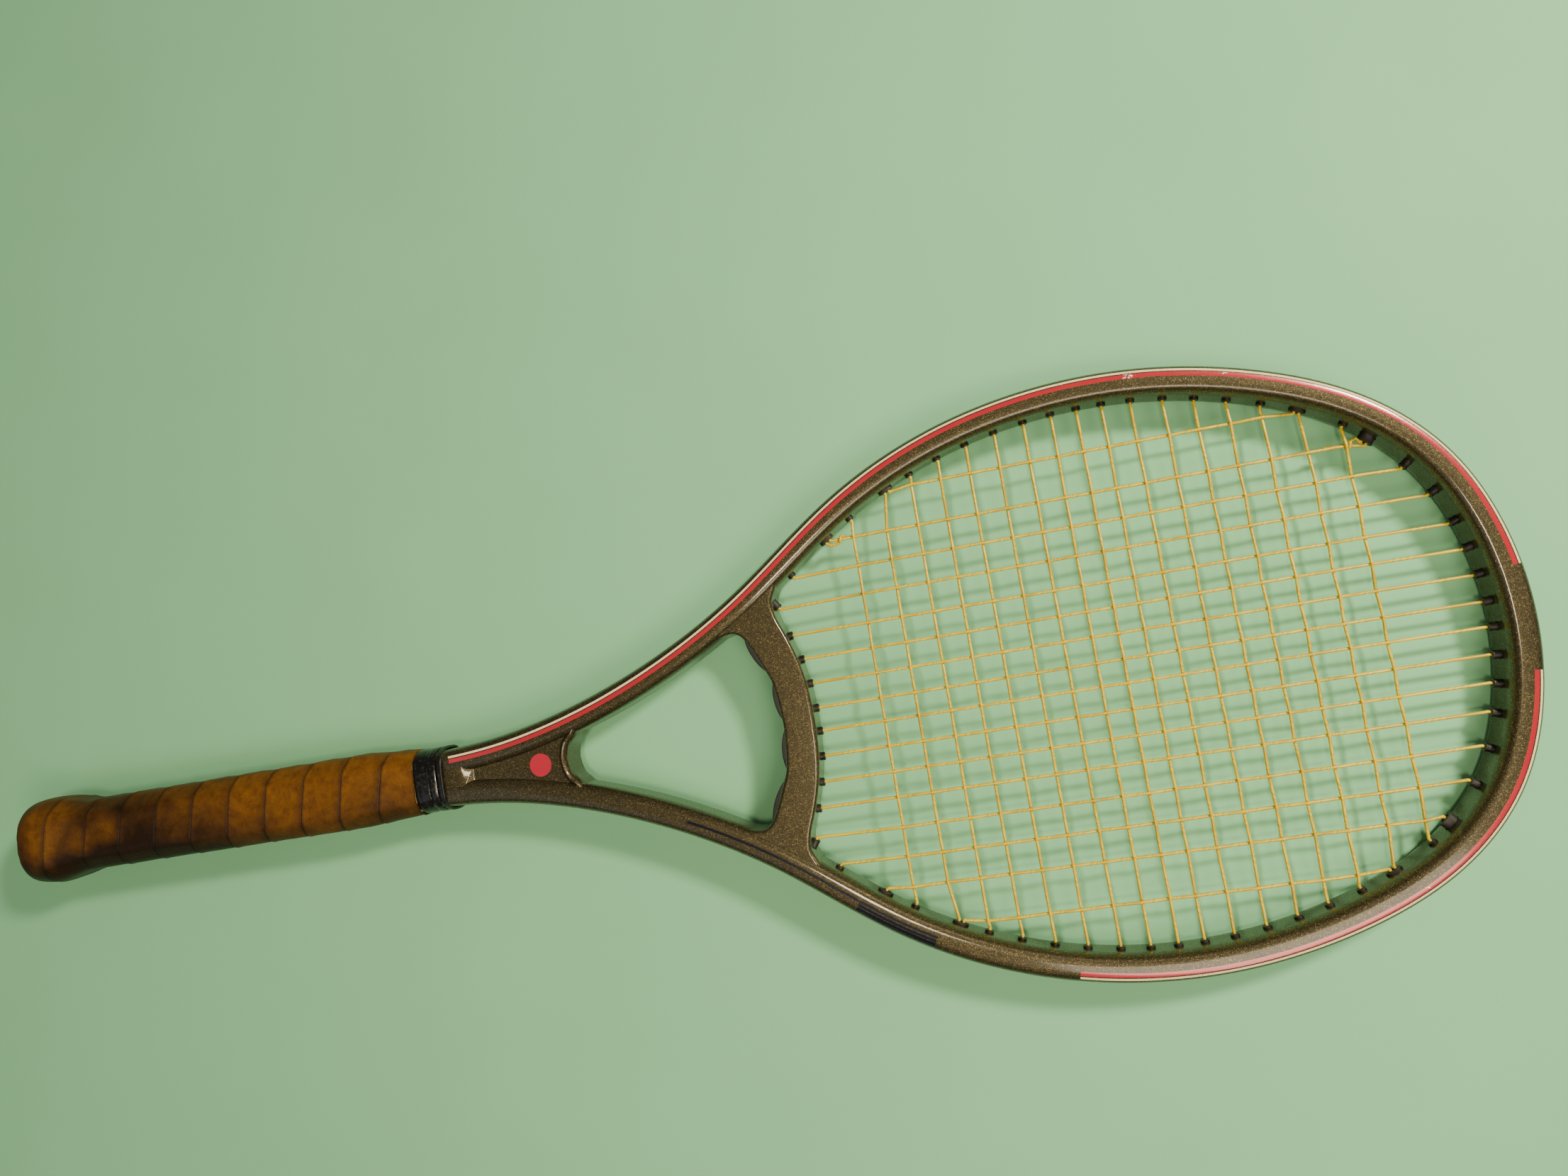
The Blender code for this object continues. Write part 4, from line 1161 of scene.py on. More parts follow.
@dataclass
class Grommets:
    """Black nylon strips in the groove, with a barrel at each hole, and four pads behind the bridge."""

    floor: float = 3.5 * MM
    thickness: float = 0.7 * MM
    wall: float = 0.6 * MM
    half: float = 3.2 * MM
    proud: float = 0.4 * MM
    barrel: float = 1.75 * MM
    bore: float = 0.95 * MM
    lip: float = 0.22 * MM
    band: float = 1.1 * MM
    band_rise: float = 0.12 * MM
    stretch: float = 1.85
    bore_stretch: float = 2.3
    split: float = 567.5 * MM
    gap: float = 1.0 * MM
    pad_overhang: float = 3.4 * MM
    pad_bulge: float = 2.4 * MM
    pad_end: float = 0.4 * MM
    pad_edge: float = 0.35 * MM
    pad_seat: float = 0.1 * MM
    pad_rim: float = 1.2 * MM
    pad_play: float = 0.45 * MM
    clear: float = 6 * MM

    def channel(self, bottom: float, high: float) -> list[Pair]:
        """U section with rounded rims, its floor at bottom and its walls up to high.

        Args:
            bottom: How far outside the centre line the floor lies.
            high: How far outside it the rims lie.

        Returns:
            Points as (out, z).
        """
        top = bottom + self.thickness
        inside = self.half - self.wall
        soft = 0.2 * MM
        side = [(bottom, self.half), (high - soft, self.half), (high, self.half - soft),
                (high, inside + soft), (high - soft, inside), (top, inside)]
        return [(out, -z) for out, z in side] + [(out, z) for out, z in reversed(side)]

    def barrels(self, name: str, holes: Sequence[Hole | BridgeHole], starts: Sequence[Vector],
                item: bpy.types.Object) -> bpy.types.Object:
        """Joins a lipped barrel for each hole to a strip, and bores it.

        Args:
            name: Name of the tools.
            holes: The holes.
            starts: Where each barrel starts, inside the strip's floor.
            item: The strip or pad.

        Returns:
            The strip or pad.
        """
        made, bores = [], []
        for hole, start in zip(holes, starts):
            length = (hole.tip - start).length
            edge = 1 - self.lip / length
            band = 1 - self.band / length
            rim = self.barrel + self.band_rise
            profile = [(self.barrel, 0), (self.barrel, band), (rim, band + 0.02), (rim, edge),
                       (self.barrel - self.lip, 1)]
            made += copies(profile, 20, [(start, -hole.axis, length, self.stretch if hole.wide else 1.0)])
            bores.append((start + hole.axis * 2 * MM, -hole.axis, length + 4 * MM,
                          self.bore_stretch if hole.wide else 1.0))
        bores = copies([(self.bore, 0), (self.bore, 1)], 14, bores)
        combine(item, joined(name + "_barrels", made), "UNION")
        combine(item, joined(name + "_bores", bores))
        return shaded(clean(item))

    def strips(self, hoop: HoopTube, bed: StringBed) -> dict[str, bpy.types.Object]:
        """Makes the left, head and right strips.

        Args:
            hoop: The tube, for its groove.
            bed: The string bed, for its holes.

        Returns:
            Pieces by the CAD node that each stands for.
        """
        start = LINE.at_x(hoop.groove_start) + self.gap
        split = LINE.at_x(self.split)
        spans = {
            "left_grommet_strip": (start, split - self.gap),
            "head_grommet_strip": (split, LINE.other(split)),
            "right_grommet_strip": (LINE.other(split) + self.gap, LINE.other(start)),
        }
        made = {}
        for name, (low, high) in spans.items():
            count = round((high - low) / (4 * MM))
            strip = sweep(name + "_visual", hoop.path(low, high, count),
                          self.channel(self.floor, hoop.wide + self.proud))
            holes = [hole for hole in bed.hoop_holes() if low < hole.place < high]
            starts = [hole.point(self.floor + self.thickness / 2) for hole in holes]
            made[name] = self.barrels(name, holes, starts, strip)
        return made

    def pads(self, bed: StringBed) -> dict[str, bpy.types.Object]:
        """Makes the four bulging pads behind the bridge, each with a channel for its string.

        Args:
            bed: The string bed, for the bridge's holes.

        Returns:
            Pieces by the CAD node that each stands for.
        """
        holes = bed.bridge_holes()
        made = {}
        for index, pair in enumerate(zip(holes[0::2], holes[1::2]), start=1):
            name = f"bridge_pad_{index}"
            first, second = (Vector((hole.back, hole.y, 0)) for hole in pair)
            forward = (second - first).normalized()
            backward = forward.cross(UP)
            span = (second - first).length / 2 + self.pad_overhang
            middle = (first + second) / 2
            outline = []
            for share in np.linspace(-1, 1, 25):
                bulge = self.pad_end + (self.pad_bulge - self.pad_end) * (1 - share ** 2) ** 0.8
                outline.append(middle + forward * span * share + backward * bulge)
            outline += [middle + forward * span * side + backward * self.pad_seat for side in (1, -1)]
            pad = plate(name + "_visual", [tuple(point.to_2d()) for point in outline], 2 * self.half,
                        self.pad_edge)
            reach, floor, clear = span - self.pad_rim, bed.pad_floor, self.clear
            channel = [middle + forward * reach * side + backward * out
                       for side, out in ((-1, floor), (1, floor), (1, clear), (-1, clear))]
            combine(pad, plate("pad_channel", [tuple(point.to_2d()) for point in channel],
                               2 * (bed.radius + self.pad_play)))
            starts = [Vector((hole.back - 0.25 * MM, hole.y, 0)) for hole in pair]
            made[name] = self.barrels(name, pair, starts, pad)
        return made


# ---------------------------------------------------------------- handle

@dataclass
class Handle:
    """Leather wrap, butt cap and door, tape and collar.

    The stations are places along X, and the widths and depths the half sizes there, in millimetres.
    """

    corner: float = 0.45
    stations: Sequence[float] = (0.3, 9, 14, 31, 180, 208)
    widths: Sequence[float] = (20.6, 21.3, 21.3, 17.3, 17.3, 15.3)
    depths: Sequence[float] = (18.9, 19.6, 19.6, 15.5, 15.5, 13.4)
    leather: float = 1.0 * MM
    skin: float = 0.45 * MM
    around: int = 132
    pitch: float = 19.5 * MM
    first_seam: float = 21.5 * MM
    overlap: float = 0.42 * MM
    end_round: float = 3.0 * MM
    end_drop: float = 1.0 * MM
    softness: float = 22.0
    butt_softness: float = 5.0
    band_softness: float = 12.0
    seam_rows: Sequence[float] = (0, 0.005, 0.011, 0.02, 0.035, 0.06, 0.095)
    tape_span: Pair = (208.2 * MM, 219.2 * MM)
    tape_half: Pair = (14.8 * MM, 12.4 * MM)
    collar_span: Pair = (219.3 * MM, 222.6 * MM)
    collar_half: Pair = (14.7 * MM, 12.2 * MM)

    def profile(self, x: np.ndarray, table: Sequence[float]) -> np.ndarray:
        """Half size along the handle, with its changes of slope rounded.

        Args:
            x: Places along X.
            table: Half sizes at the stations, in millimetres.

        Returns:
            Half sizes.
        """
        total = np.zeros_like(x)
        shifts = np.linspace(-4, 4, 9) * MM
        for shift in shifts:
            total += np.interp(x + shift, np.array(self.stations) * MM, np.array(table) * MM)
        return total / len(shifts)

    def wrap(self) -> bpy.types.Object:
        """Makes the leather: one strip wound up the handle, each turn lapping over the last.

        The rows of its grid are wound with the strip, closest together beside the seam, and its two ends are cut
        square by moving what lies past them onto the end.

        Returns:
            The leather.
        """
        low, high = self.stations[0] * MM, self.stations[-1] * MM
        seam = np.array(self.seam_rows)
        rows = np.concatenate((seam, np.linspace(0.14, 0.86, 12), 1 - seam[:0:-1]))
        before = math.ceil((self.first_seam - low) / self.pitch)
        turns = before + math.ceil((high - self.first_seam) / self.pitch) + 1
        rings = turns * len(rows)

        def shape(along: np.ndarray, around: np.ndarray) -> np.ndarray:
            """Places the strip's points for shares along and round."""
            row = np.round(along * rings).astype(int)
            share = rows[row % len(rows)]
            free = self.first_seam + self.pitch * (row // len(rows) + share - before - around)
            x = np.clip(free, low, high)
            cut = (x - self.first_seam) / self.pitch + around + before
            share = np.where(free == x, share, cut - np.floor(cut))
            angle = around * math.tau
            softness = np.interp(x, (low, self.stations[3] * MM), (self.butt_softness, self.softness))
            radius = octagon_radius(angle, self.profile(x, self.widths), self.profile(x, self.depths),
                                    self.corner, softness)
            lap = np.exp(-share / 0.16) - np.exp(-((share - 1) / 0.03) ** 2) - 0.5 * np.exp(-(share / 0.01) ** 2)
            sag = 0.12 * MM * np.sin(x * 211 + 3 * angle) * np.sin(angle * 5 + x * 97)
            end = np.clip((x - low) / self.end_round, 0, 1)
            radius += self.overlap * lap + sag - self.skin - (1 - np.sqrt(end * (2 - end))) * self.end_drop
            return np.column_stack([x, radius * np.cos(angle), radius * np.sin(angle)])

        item = sleeve("leather_grip_visual", rings, self.around, self.leather, shape)
        bpy.ops.object.shade_smooth_by_angle(angle=SHARP)
        return item

    def band(self, name: str, span: Pair, half: Pair, relief: Callable[[np.ndarray, np.ndarray], np.ndarray],
             rings: int, wall: float) -> bpy.types.Object:
        """Makes a sleeve over the tubes.

        Args:
            name: Name of the piece.
            span: Where it starts and ends along X.
            half: Its half width and half depth.
            relief: Adds to the radius, from shares along and round.
            rings: Steps along.
            wall: Its thickness.

        Returns:
            The sleeve.
        """
        def shape(along: np.ndarray, around: np.ndarray) -> np.ndarray:
            """Places the band's points for shares along and round."""
            angle = around * math.tau
            x = span[0] + (span[1] - span[0]) * along
            ones = np.ones_like(x)
            radius = octagon_radius(angle, half[0] * ones, half[1] * ones, self.corner, self.band_softness)
            radius += relief(along, around)
            return np.column_stack([x, radius * np.cos(angle), radius * np.sin(angle)])

        return shaded(sleeve(name, rings, 120, wall, shape))

    def tape(self) -> bpy.types.Object:
        """Makes the glossy finishing tape, pulled into wrinkles.

        Returns:
            The tape.
        """
        def relief(along: np.ndarray, around: np.ndarray) -> np.ndarray:
            """Folds of the tape, for shares along and round."""
            angle = around * math.tau
            fold = np.sin(along * 8.5 + 0.5 * np.sin(angle + 0.6)) + 0.35 * np.sin(along * 19 + np.sin(2 * angle))
            crease = np.exp(-((along - 0.62 - 0.05 * np.sin(angle)) / 0.035) ** 2)
            rim = np.exp(-along / 0.06) + np.exp(-(1 - along) / 0.06)
            return MM * (0.2 * fold - 0.35 * crease - 0.35 * rim)

        return self.band("finishing_tape_visual", self.tape_span, self.tape_half, relief, rings=40, wall=0.8 * MM)

    def collar(self) -> bpy.types.Object:
        """Makes the narrow rubber ring that covers the tape's end.

        Returns:
            The ring.
        """
        def relief(along: np.ndarray, around: np.ndarray) -> np.ndarray:
            """Crown and lip of the ring, for shares along and round."""
            crown = np.sqrt(np.clip(1 - (2 * along - 1) ** 2, 0, 1))
            lip = np.exp(-((along - 0.82) / 0.12) ** 2)
            return 0.9 * MM * crown + 0.35 * MM * lip - 0.75 * MM

        return self.band("collar_ring_visual", self.collar_span, self.collar_half, relief, rings=22, wall=0.7 * MM)

    def ring(self, x: float, wide: float, deep: float, inset: float, sides: int) -> np.ndarray:
        """Places the points of a soft octagon round the handle's axis, from sizes in millimetres.

        Args:
            x: Place along X.
            wide: Half width.
            deep: Half depth.
            inset: How much smaller it is all round.
            sides: Points to the ring.

        Returns:
            The points, as rows.
        """
        angle = np.linspace(0, math.tau, sides, endpoint=False)
        radius = octagon_radius(angle, np.full(sides, (wide - inset) * MM), np.full(sides, (deep - inset) * MM),
                                self.corner, self.softness)
        return np.column_stack([np.full(sides, x * MM), radius * np.cos(angle), radius * np.sin(angle)])

    def lofted(self, name: str, rings: Sequence[tuple[float, ...]], sides: int = 64) -> bpy.types.Object:
        """Makes a closed solid through soft octagons.

        Args:
            name: Name of the piece.
            rings: Each ring's X, half width, half depth and inset, in millimetres.
            sides: Points to a ring.

        Returns:
            The solid.
        """
        bpy.ops.object.select_all(action="DESELECT")
        bpy.ops.mesh.primitive_circle_add(vertices=sides, radius=1, fill_type="NGON")
        item = bpy.context.object
        item.name = name
        for _ in rings[1:]:
            bpy.ops.object.mode_set(mode="EDIT")
            bpy.ops.mesh.extrude_region_move(TRANSFORM_OT_translate={"value": (0, 0, 1)})
            bpy.ops.object.mode_set(mode="OBJECT")
        flat = points_of(item)
        spun = np.round(np.arctan2(flat[:, 0], flat[:, 1]) / math.tau * sides).astype(int) % sides
        level = np.round(flat[:, 2]).astype(int)
        places = np.array([self.ring(*ring, sides) for ring in rings])[level, spun]
        item.data.vertices.foreach_set("co", places.ravel())
        return clean(item)

    def cap(self) -> bpy.types.Object:
        """Makes the moulded butt cap with the seat of its door.

        Returns:
            The cap.
        """
        butt, flare, inner, length = (19.6, 17.9), (21.3, 19.6), 1.75, 28
        end = [np.interp(length, self.stations, table) for table in (self.widths, self.depths)]
        rings = [(x, *butt, inset) for x, inset in (
            (0, 5.0), (0.3, 4.2), (0.9, 3.6), (1.7, 3.3), (2.0, 3.5), (2.4, 5.2))]
        rings += [(9, *flare, inner + 1), (14, *flare, inner), (length, *end, inner)]
        item = self.lofted("butt_cap_visual", rings)
        combine(item, self.lofted("pocket_tool", [(x, 15.6, 13.8, 0) for x in (3, 30)]))
        combine(item, self.lofted("door_seat_tool", [(x, 9.3, 7.8, 0) for x in (-1, 2.1)]))
        return shaded(item)

    def door(self) -> bpy.types.Object:
        """Makes the small door in the butt, with a dished face.

        Returns:
            The door.
        """
        rings = [(x, 9, 7.5, inset) for x, inset in (
            (1.8, 0), (0.35, 0), (0.05, 0.3), (0.05, 1.1), (0.45, 1.5), (0.5, 3.5))]
        return shaded(self.lofted("butt_door_visual", rings))


# ---------------------------------------------------------------- finishes

def linear(code: str, alpha: float = 1.0) -> tuple[float, float, float, float]:
    """Linear colour of an sRGB hex value.

    Args:
        code: The value, as #rrggbb.
        alpha: Its alpha.

    Returns:
        Red, green, blue and alpha.
    """
    parts = [int(code[index:index + 2], 16) / 255 for index in (1, 3, 5)]
    red, green, blue = (part / 12.92 if part <= 0.04045 else ((part + 0.055) / 1.055) ** 2.4 for part in parts)
    return red, green, blue, alpha


def fill(tree: bpy.types.NodeTree, node: bpy.types.Node, values: dict[Any, Any]) -> None:
    """Links a socket to each named input of a node, or sets its value.

    Args:
        tree: The material's nodes.
        node: The node.
        values: By input name or number, a socket or a value.
    """
    for name, value in values.items():
        if isinstance(value, bpy.types.NodeSocket):
            tree.links.new(value, node.inputs[name])
        else:
            node.inputs[name].default_value = value


def add_node(tree: bpy.types.NodeTree, kind: str, inputs: dict[Any, Any] | None = None,
             stops: Sequence[tuple[float, Any]] = (), steps: bool = False, **settings: Any) -> Any:
    """Adds a node, with its settings, its links and its values.

    Args:
        tree: The material's nodes.
        kind: The node's type, without its prefix.
        inputs: By input name or number, a socket to link or a value.
        stops: Positions and colours, for a node with a ramp.
        steps: Whether the ramp jumps from stop to stop.
        settings: The node's own properties.

    Returns:
        The node's outputs.
    """
    node = tree.nodes.new("ShaderNode" + kind)
    for name, value in settings.items():
        setattr(node, name, value)
    fill(tree, node, inputs or {})
    if stops:
        ramp = node.color_ramp
        ramp.interpolation = "CONSTANT" if steps else "LINEAR"
        ramp.elements.remove(ramp.elements[1])
        for index, (position, colour) in enumerate(stops):
            element = ramp.elements[0] if index == 0 else ramp.elements.new(position)
            element.position = position
            element.color = colour
    return node.outputs


GREY = {level: (level, level, level, 1.0) for level in (0.0, 0.25, 0.5, 0.75, 1.0)}
CLEAR, SOLID = GREY[0.0], GREY[1.0]


def new_material(name: str) -> tuple[bpy.types.Material, bpy.types.NodeTree, bpy.types.Node, bpy.types.NodeSocket]:
    """A material with one Principled shader.

    Args:
        name: The real material and finish.

    Returns:
        The material, its nodes, its shader and its Object coordinates.
    """
    made = bpy.data.materials.new(name)
    made.use_nodes = True
    tree = made.node_tree
    return made, tree, tree.nodes["Principled BSDF"], add_node(tree, "TexCoord")["Object"]


@dataclass(frozen=True)
class CarbonLacquer:
    """Painted carbon: a dark bronze base with metal flake, printed stripes, and clear lacquer over them.

    The flake gives a fine warm glitter, its brightest cells painted as glints, and the lacquer a sharp light line
    along each shoulder.
    """

    name: str = "flake_lacquer_on_carbon"
    striped: bool = True
    disc: bool = False
    shade: str = "#2c2814"
    bronze: str = "#51472a"
    # glint: painted glint colour of the brightest flakes; it also tints the faded stripes.
    glint: str = "#9a8350"
    cream: str = "#ffe4b8"
    red: str = "#b80f2e"
    navy: str = "#040817"
    primer: str = "#f1dfcc"
    flake: float = 0.27 * MM        # a real flake is 0.1 mm; drawn coarser so that it shows
    roughness: float = 0.42
    metal: float = 0.7
    disc_place: Sequence[float] = (268.5 * MM, -0.5 * MM, 0)
    disc_radius: float = 5.2 * MM
    cloud: float = 9 * MM
    face: float = 12.0              # mm across the tube, which the stripes' ramps cover
    slide: float = 1.35 * MM
    bars: Sequence[float] = (0.9, 2.4, 3.9, 5.4)
    bar_width: float = 1.2
    chip_height: float = 9 * MM
    chips: Sequence[tuple[float, float, float]] = (
        (551, 121.5, 6), (590, 116.2, 5), (624, -100, 4), (651, 84, 3.5), (662, -71, 2))
    nibble: float = 1.3 * MM

    def build(self) -> bpy.types.Material:
        """Makes the material.

        Returns:
            The material.
        """
        made, tree, shader, place = new_material(self.name)
        cells = add_node(tree, "TexVoronoi", {"Vector": place, "Scale": 1 / self.flake})
        speck = add_node(tree, "SeparateColor", {"Color": cells["Color"]})
        cloud = add_node(tree, "TexNoise", {"Vector": place, "Scale": 1 / self.cloud, "Detail": 4.0})["Fac"]
        shade, bronze, glint = (linear(code) for code in (self.shade, self.bronze, self.glint))
        # The brightest flake cells take the glint colour: painted glints.
        base = add_node(tree, "ValToRGB", {"Fac": speck["Red"]}, stops=(
            (0.0, shade), (0.2, shade), (0.7, bronze), (0.9, bronze), (1.0, glint)))["Color"]
        dull = add_node(tree, "Mix", {0: 0.35, 6: base, 7: shade}, data_type="RGBA")[2]
        colour = add_node(tree, "Mix", {0: cloud, 6: base, 7: dull}, data_type="RGBA")[2]
        dullness = add_node(tree, "MapRange", {"Value": speck["Green"], "To Min": self.roughness - 0.1,
                                               "To Max": self.roughness + 0.14})["Result"]
        metal = self.metal
        if self.striped:
            colour, metal, dullness = self.print_stripes(tree, place, cloud, colour, dullness)
        if self.disc:
            away = add_node(tree, "VectorMath", {0: place, 1: (1, 1, 0)}, operation="MULTIPLY")[0]
            away = add_node(tree, "VectorMath", {0: away, 1: self.disc_place}, operation="DISTANCE")["Value"]
            inside = add_node(tree, "Math", {0: away, 1: self.disc_radius}, operation="LESS_THAN")[0]
            colour = add_node(tree, "Mix", {0: inside, 6: colour, 7: linear(self.red)}, data_type="RGBA")[2]
            metal = add_node(tree, "MapRange", {"Value": inside, "To Min": self.metal, "To Max": 0.0})["Result"]
        tilt = add_node(tree, "Bump", {"Strength": 0.12, "Distance": 0.05 * MM, "Height": speck["Blue"]})
        fill(tree, shader, {"Base Color": colour, "Metallic": metal, "Roughness": dullness, "Coat Weight": 0.6,
                            "Coat Roughness": 0.1, "Normal": tilt["Normal"]})
        return made

    def print_stripes(self, tree: bpy.types.NodeTree, place: Any, cloud: Any, colour: Any,
                      dullness: Any) -> tuple[Any, Any, Any]:
        """Lays the stripes over the flake, chipped where they are worn.

        Args:
            tree: The material's nodes.
            place: Object coordinates.
            cloud: A slow noise.
            colour: Colour under the stripes.
            dullness: Roughness under the stripes.

        Returns:
            Sockets for colour, metallic and roughness.
        """
        lay = add_node(tree, "Attribute", attribute_name="lay")["Vector"]
        parts = add_node(tree, "SeparateXYZ", {"Vector": lay})
        whole = 2 * LINE.length
        tip = LINE.at_y(18 * MM, 0, LINE.widest, LINE.length)
        far_tip = LINE.other(LINE.at_y(22 * MM, 0, LINE.widest, LINE.length))
        near = {x: LINE.at_x(x * MM) / whole for x in (221, 300, 470)}
        far = {x: LINE.other(LINE.at_x(x * MM)) / whole for x in (336.5, 403, 433, 489)}
        around = add_node(tree, "MapRange", {"Value": parts["X"], "From Max": whole})["Result"]
        # Along the tube, red stands for the two stripes, green for the block of bars and blue for a lone bar.
        stripes, block, lone = (1, 0, 0, 1), (0, 1, 0, 1), (0, 0, 1, 1)
        spans = add_node(tree, "ValToRGB", {"Fac": around}, steps=True, stops=(
            (0.0, CLEAR), (near[221], stripes), (tip / whole, CLEAR), (far_tip / whole, stripes),
            (far[489], CLEAR), (far[433], block), (far[403], lone), (far[336.5], CLEAR)))["Color"]
        which = add_node(tree, "SeparateColor", {"Color": spans})
        # The stripes slide towards the outer edge on their way from the leg to the hoop.
        slide = add_node(tree, "ValToRGB", {"Fac": around}, stops=((near[300], SOLID), (near[470], CLEAR)))["Color"]
        shift = add_node(tree, "Math", {0: slide, 1: self.slide}, operation="MULTIPLY")[0]
        depth = add_node(tree, "Math", {0: parts["Y"], 1: shift}, operation="SUBTRACT")[0]
        across, fixed = (add_node(tree, "MapRange", {"Value": value, "From Max": self.face * MM})["Result"]
                         for value in (depth, parts["Y"]))
        paint = add_node(tree, "ValToRGB", {"Fac": across}, steps=True, stops=[
            (edge / self.face, linear(code, alpha)) for edge, code, alpha in (
                (0.0, self.cream, 0), (1.9, self.cream, 1), (2.85, self.red, 0), (3.3, self.red, 1),
                (5.1, self.red, 0))])
        printed = []
        for bars, part in ((self.bars, "Green"), (self.bars[-1:], "Blue")):
            stops = [(0.0, CLEAR)]
            for start in bars:
                stops += [(start / self.face, SOLID), ((start + self.bar_width) / self.face, CLEAR)]
            lines = add_node(tree, "ValToRGB", {"Fac": fixed}, steps=True, stops=stops)["Color"]
            printed.append(add_node(tree, "Math", {0: lines, 1: which[part]}, operation="MULTIPLY")[0])
        navy = add_node(tree, "Math", {0: printed[0], 1: printed[1]}, operation="MAXIMUM")[0]
        height = add_node(tree, "Math", {0: parts["Z"]}, operation="ABSOLUTE")[0]
        face = add_node(tree, "Math", {0: height, 1: 5.5 * MM}, operation="GREATER_THAN")[0]
        # Wear: the paint's edge is nibbled, and at five spots of the hoop it has chipped off to the primer.
        nibble = add_node(tree, "TexNoise", {"Vector": place, "Scale": 1 / self.nibble, "Detail": 3.0})["Fac"]
        most = 0.0
        for x, y, radius in self.chips:
            spot = (x * MM, y * MM, self.chip_height)
            away = add_node(tree, "VectorMath", {0: place, 1: spot}, operation="DISTANCE")["Value"]
            chip = add_node(tree, "MapRange", {"Value": away, "From Max": radius * MM, "To Min": 0.62,
                                               "To Max": 0.0})["Result"]
            most = add_node(tree, "Math", {0: most, 1: chip}, operation="MAXIMUM")[0]
        bare = add_node(tree, "Math", {0: most, 1: nibble}, operation="ADD")[0]
        chipped = add_node(tree, "Math", {0: bare, 1: 0.93}, operation="GREATER_THAN")[0]
        worn = add_node(tree, "Math", {0: nibble, 1: 0.27}, operation="GREATER_THAN")[0]
        masks = []
        for mask, *others in ((paint["Alpha"], which["Red"], face, worn), (navy, face),
                              (chipped, paint["Alpha"], face)):
            for other in others:
                mask = add_node(tree, "Math", {0: mask, 1: other}, operation="MULTIPLY")[0]
            masks.append(mask)
        faded = add_node(tree, "Mix", {0: 0.12, 6: paint["Color"], 7: linear(self.glint)}, data_type="RGBA")[2]
        ink = add_node(tree, "Mix", {0: cloud, 6: paint["Color"], 7: faded}, data_type="RGBA")[2]
        for mask, top in zip(masks, (ink, linear(self.navy), linear(self.primer))):
            colour = add_node(tree, "Mix", {0: mask, 6: colour, 7: top}, data_type="RGBA")[2]
        painted = add_node(tree, "Math", {0: masks[0], 1: masks[1]}, operation="MAXIMUM")[0]
        metal = add_node(tree, "MapRange", {"Value": painted, "To Min": self.metal, "To Max": 0.05})["Result"]
        dullness = add_node(tree, "Mix", {0: painted, 2: dullness, 3: 0.2}, data_type="FLOAT")[0]
        return colour, metal, dullness


@dataclass(frozen=True)
class MouldedNylon:
    """Moulded polyamide: near black, a soft sheen, and a fine moulded grain that is rubbed paler in places."""

    name: str = "moulded_black_nylon"
    colour: str = "#14100d"
    rubbed: str = "#35302a"
    roughness: float = 0.42
    grain: float = 0.6 * MM

    def build(self) -> bpy.types.Material:
        """Makes the material.

        Returns:
            The material.
        """
        made, tree, shader, place = new_material(self.name)
        wear = add_node(tree, "TexNoise", {"Vector": place, "Scale": 1 / (7 * MM), "Detail": 5.0})
        grain = add_node(tree, "TexNoise", {"Vector": place, "Scale": 1 / self.grain, "Detail": 2.0})
        tone = add_node(tree, "ValToRGB", {"Fac": wear["Fac"]}, stops=(
            (0.42, linear(self.colour)), (0.72, linear(self.rubbed))))
        rough = add_node(tree, "MapRange", {"Value": wear["Fac"], "To Min": self.roughness - 0.1,
                                            "To Max": self.roughness + 0.2})
        tilt = add_node(tree, "Bump", {"Strength": 0.2, "Distance": 0.08 * MM, "Height": grain["Fac"]})
        fill(tree, shader, {"Base Color": tone["Color"], "Roughness": rough["Result"],
                            "IOR": 1.53, "Normal": tilt["Normal"]})
        return made


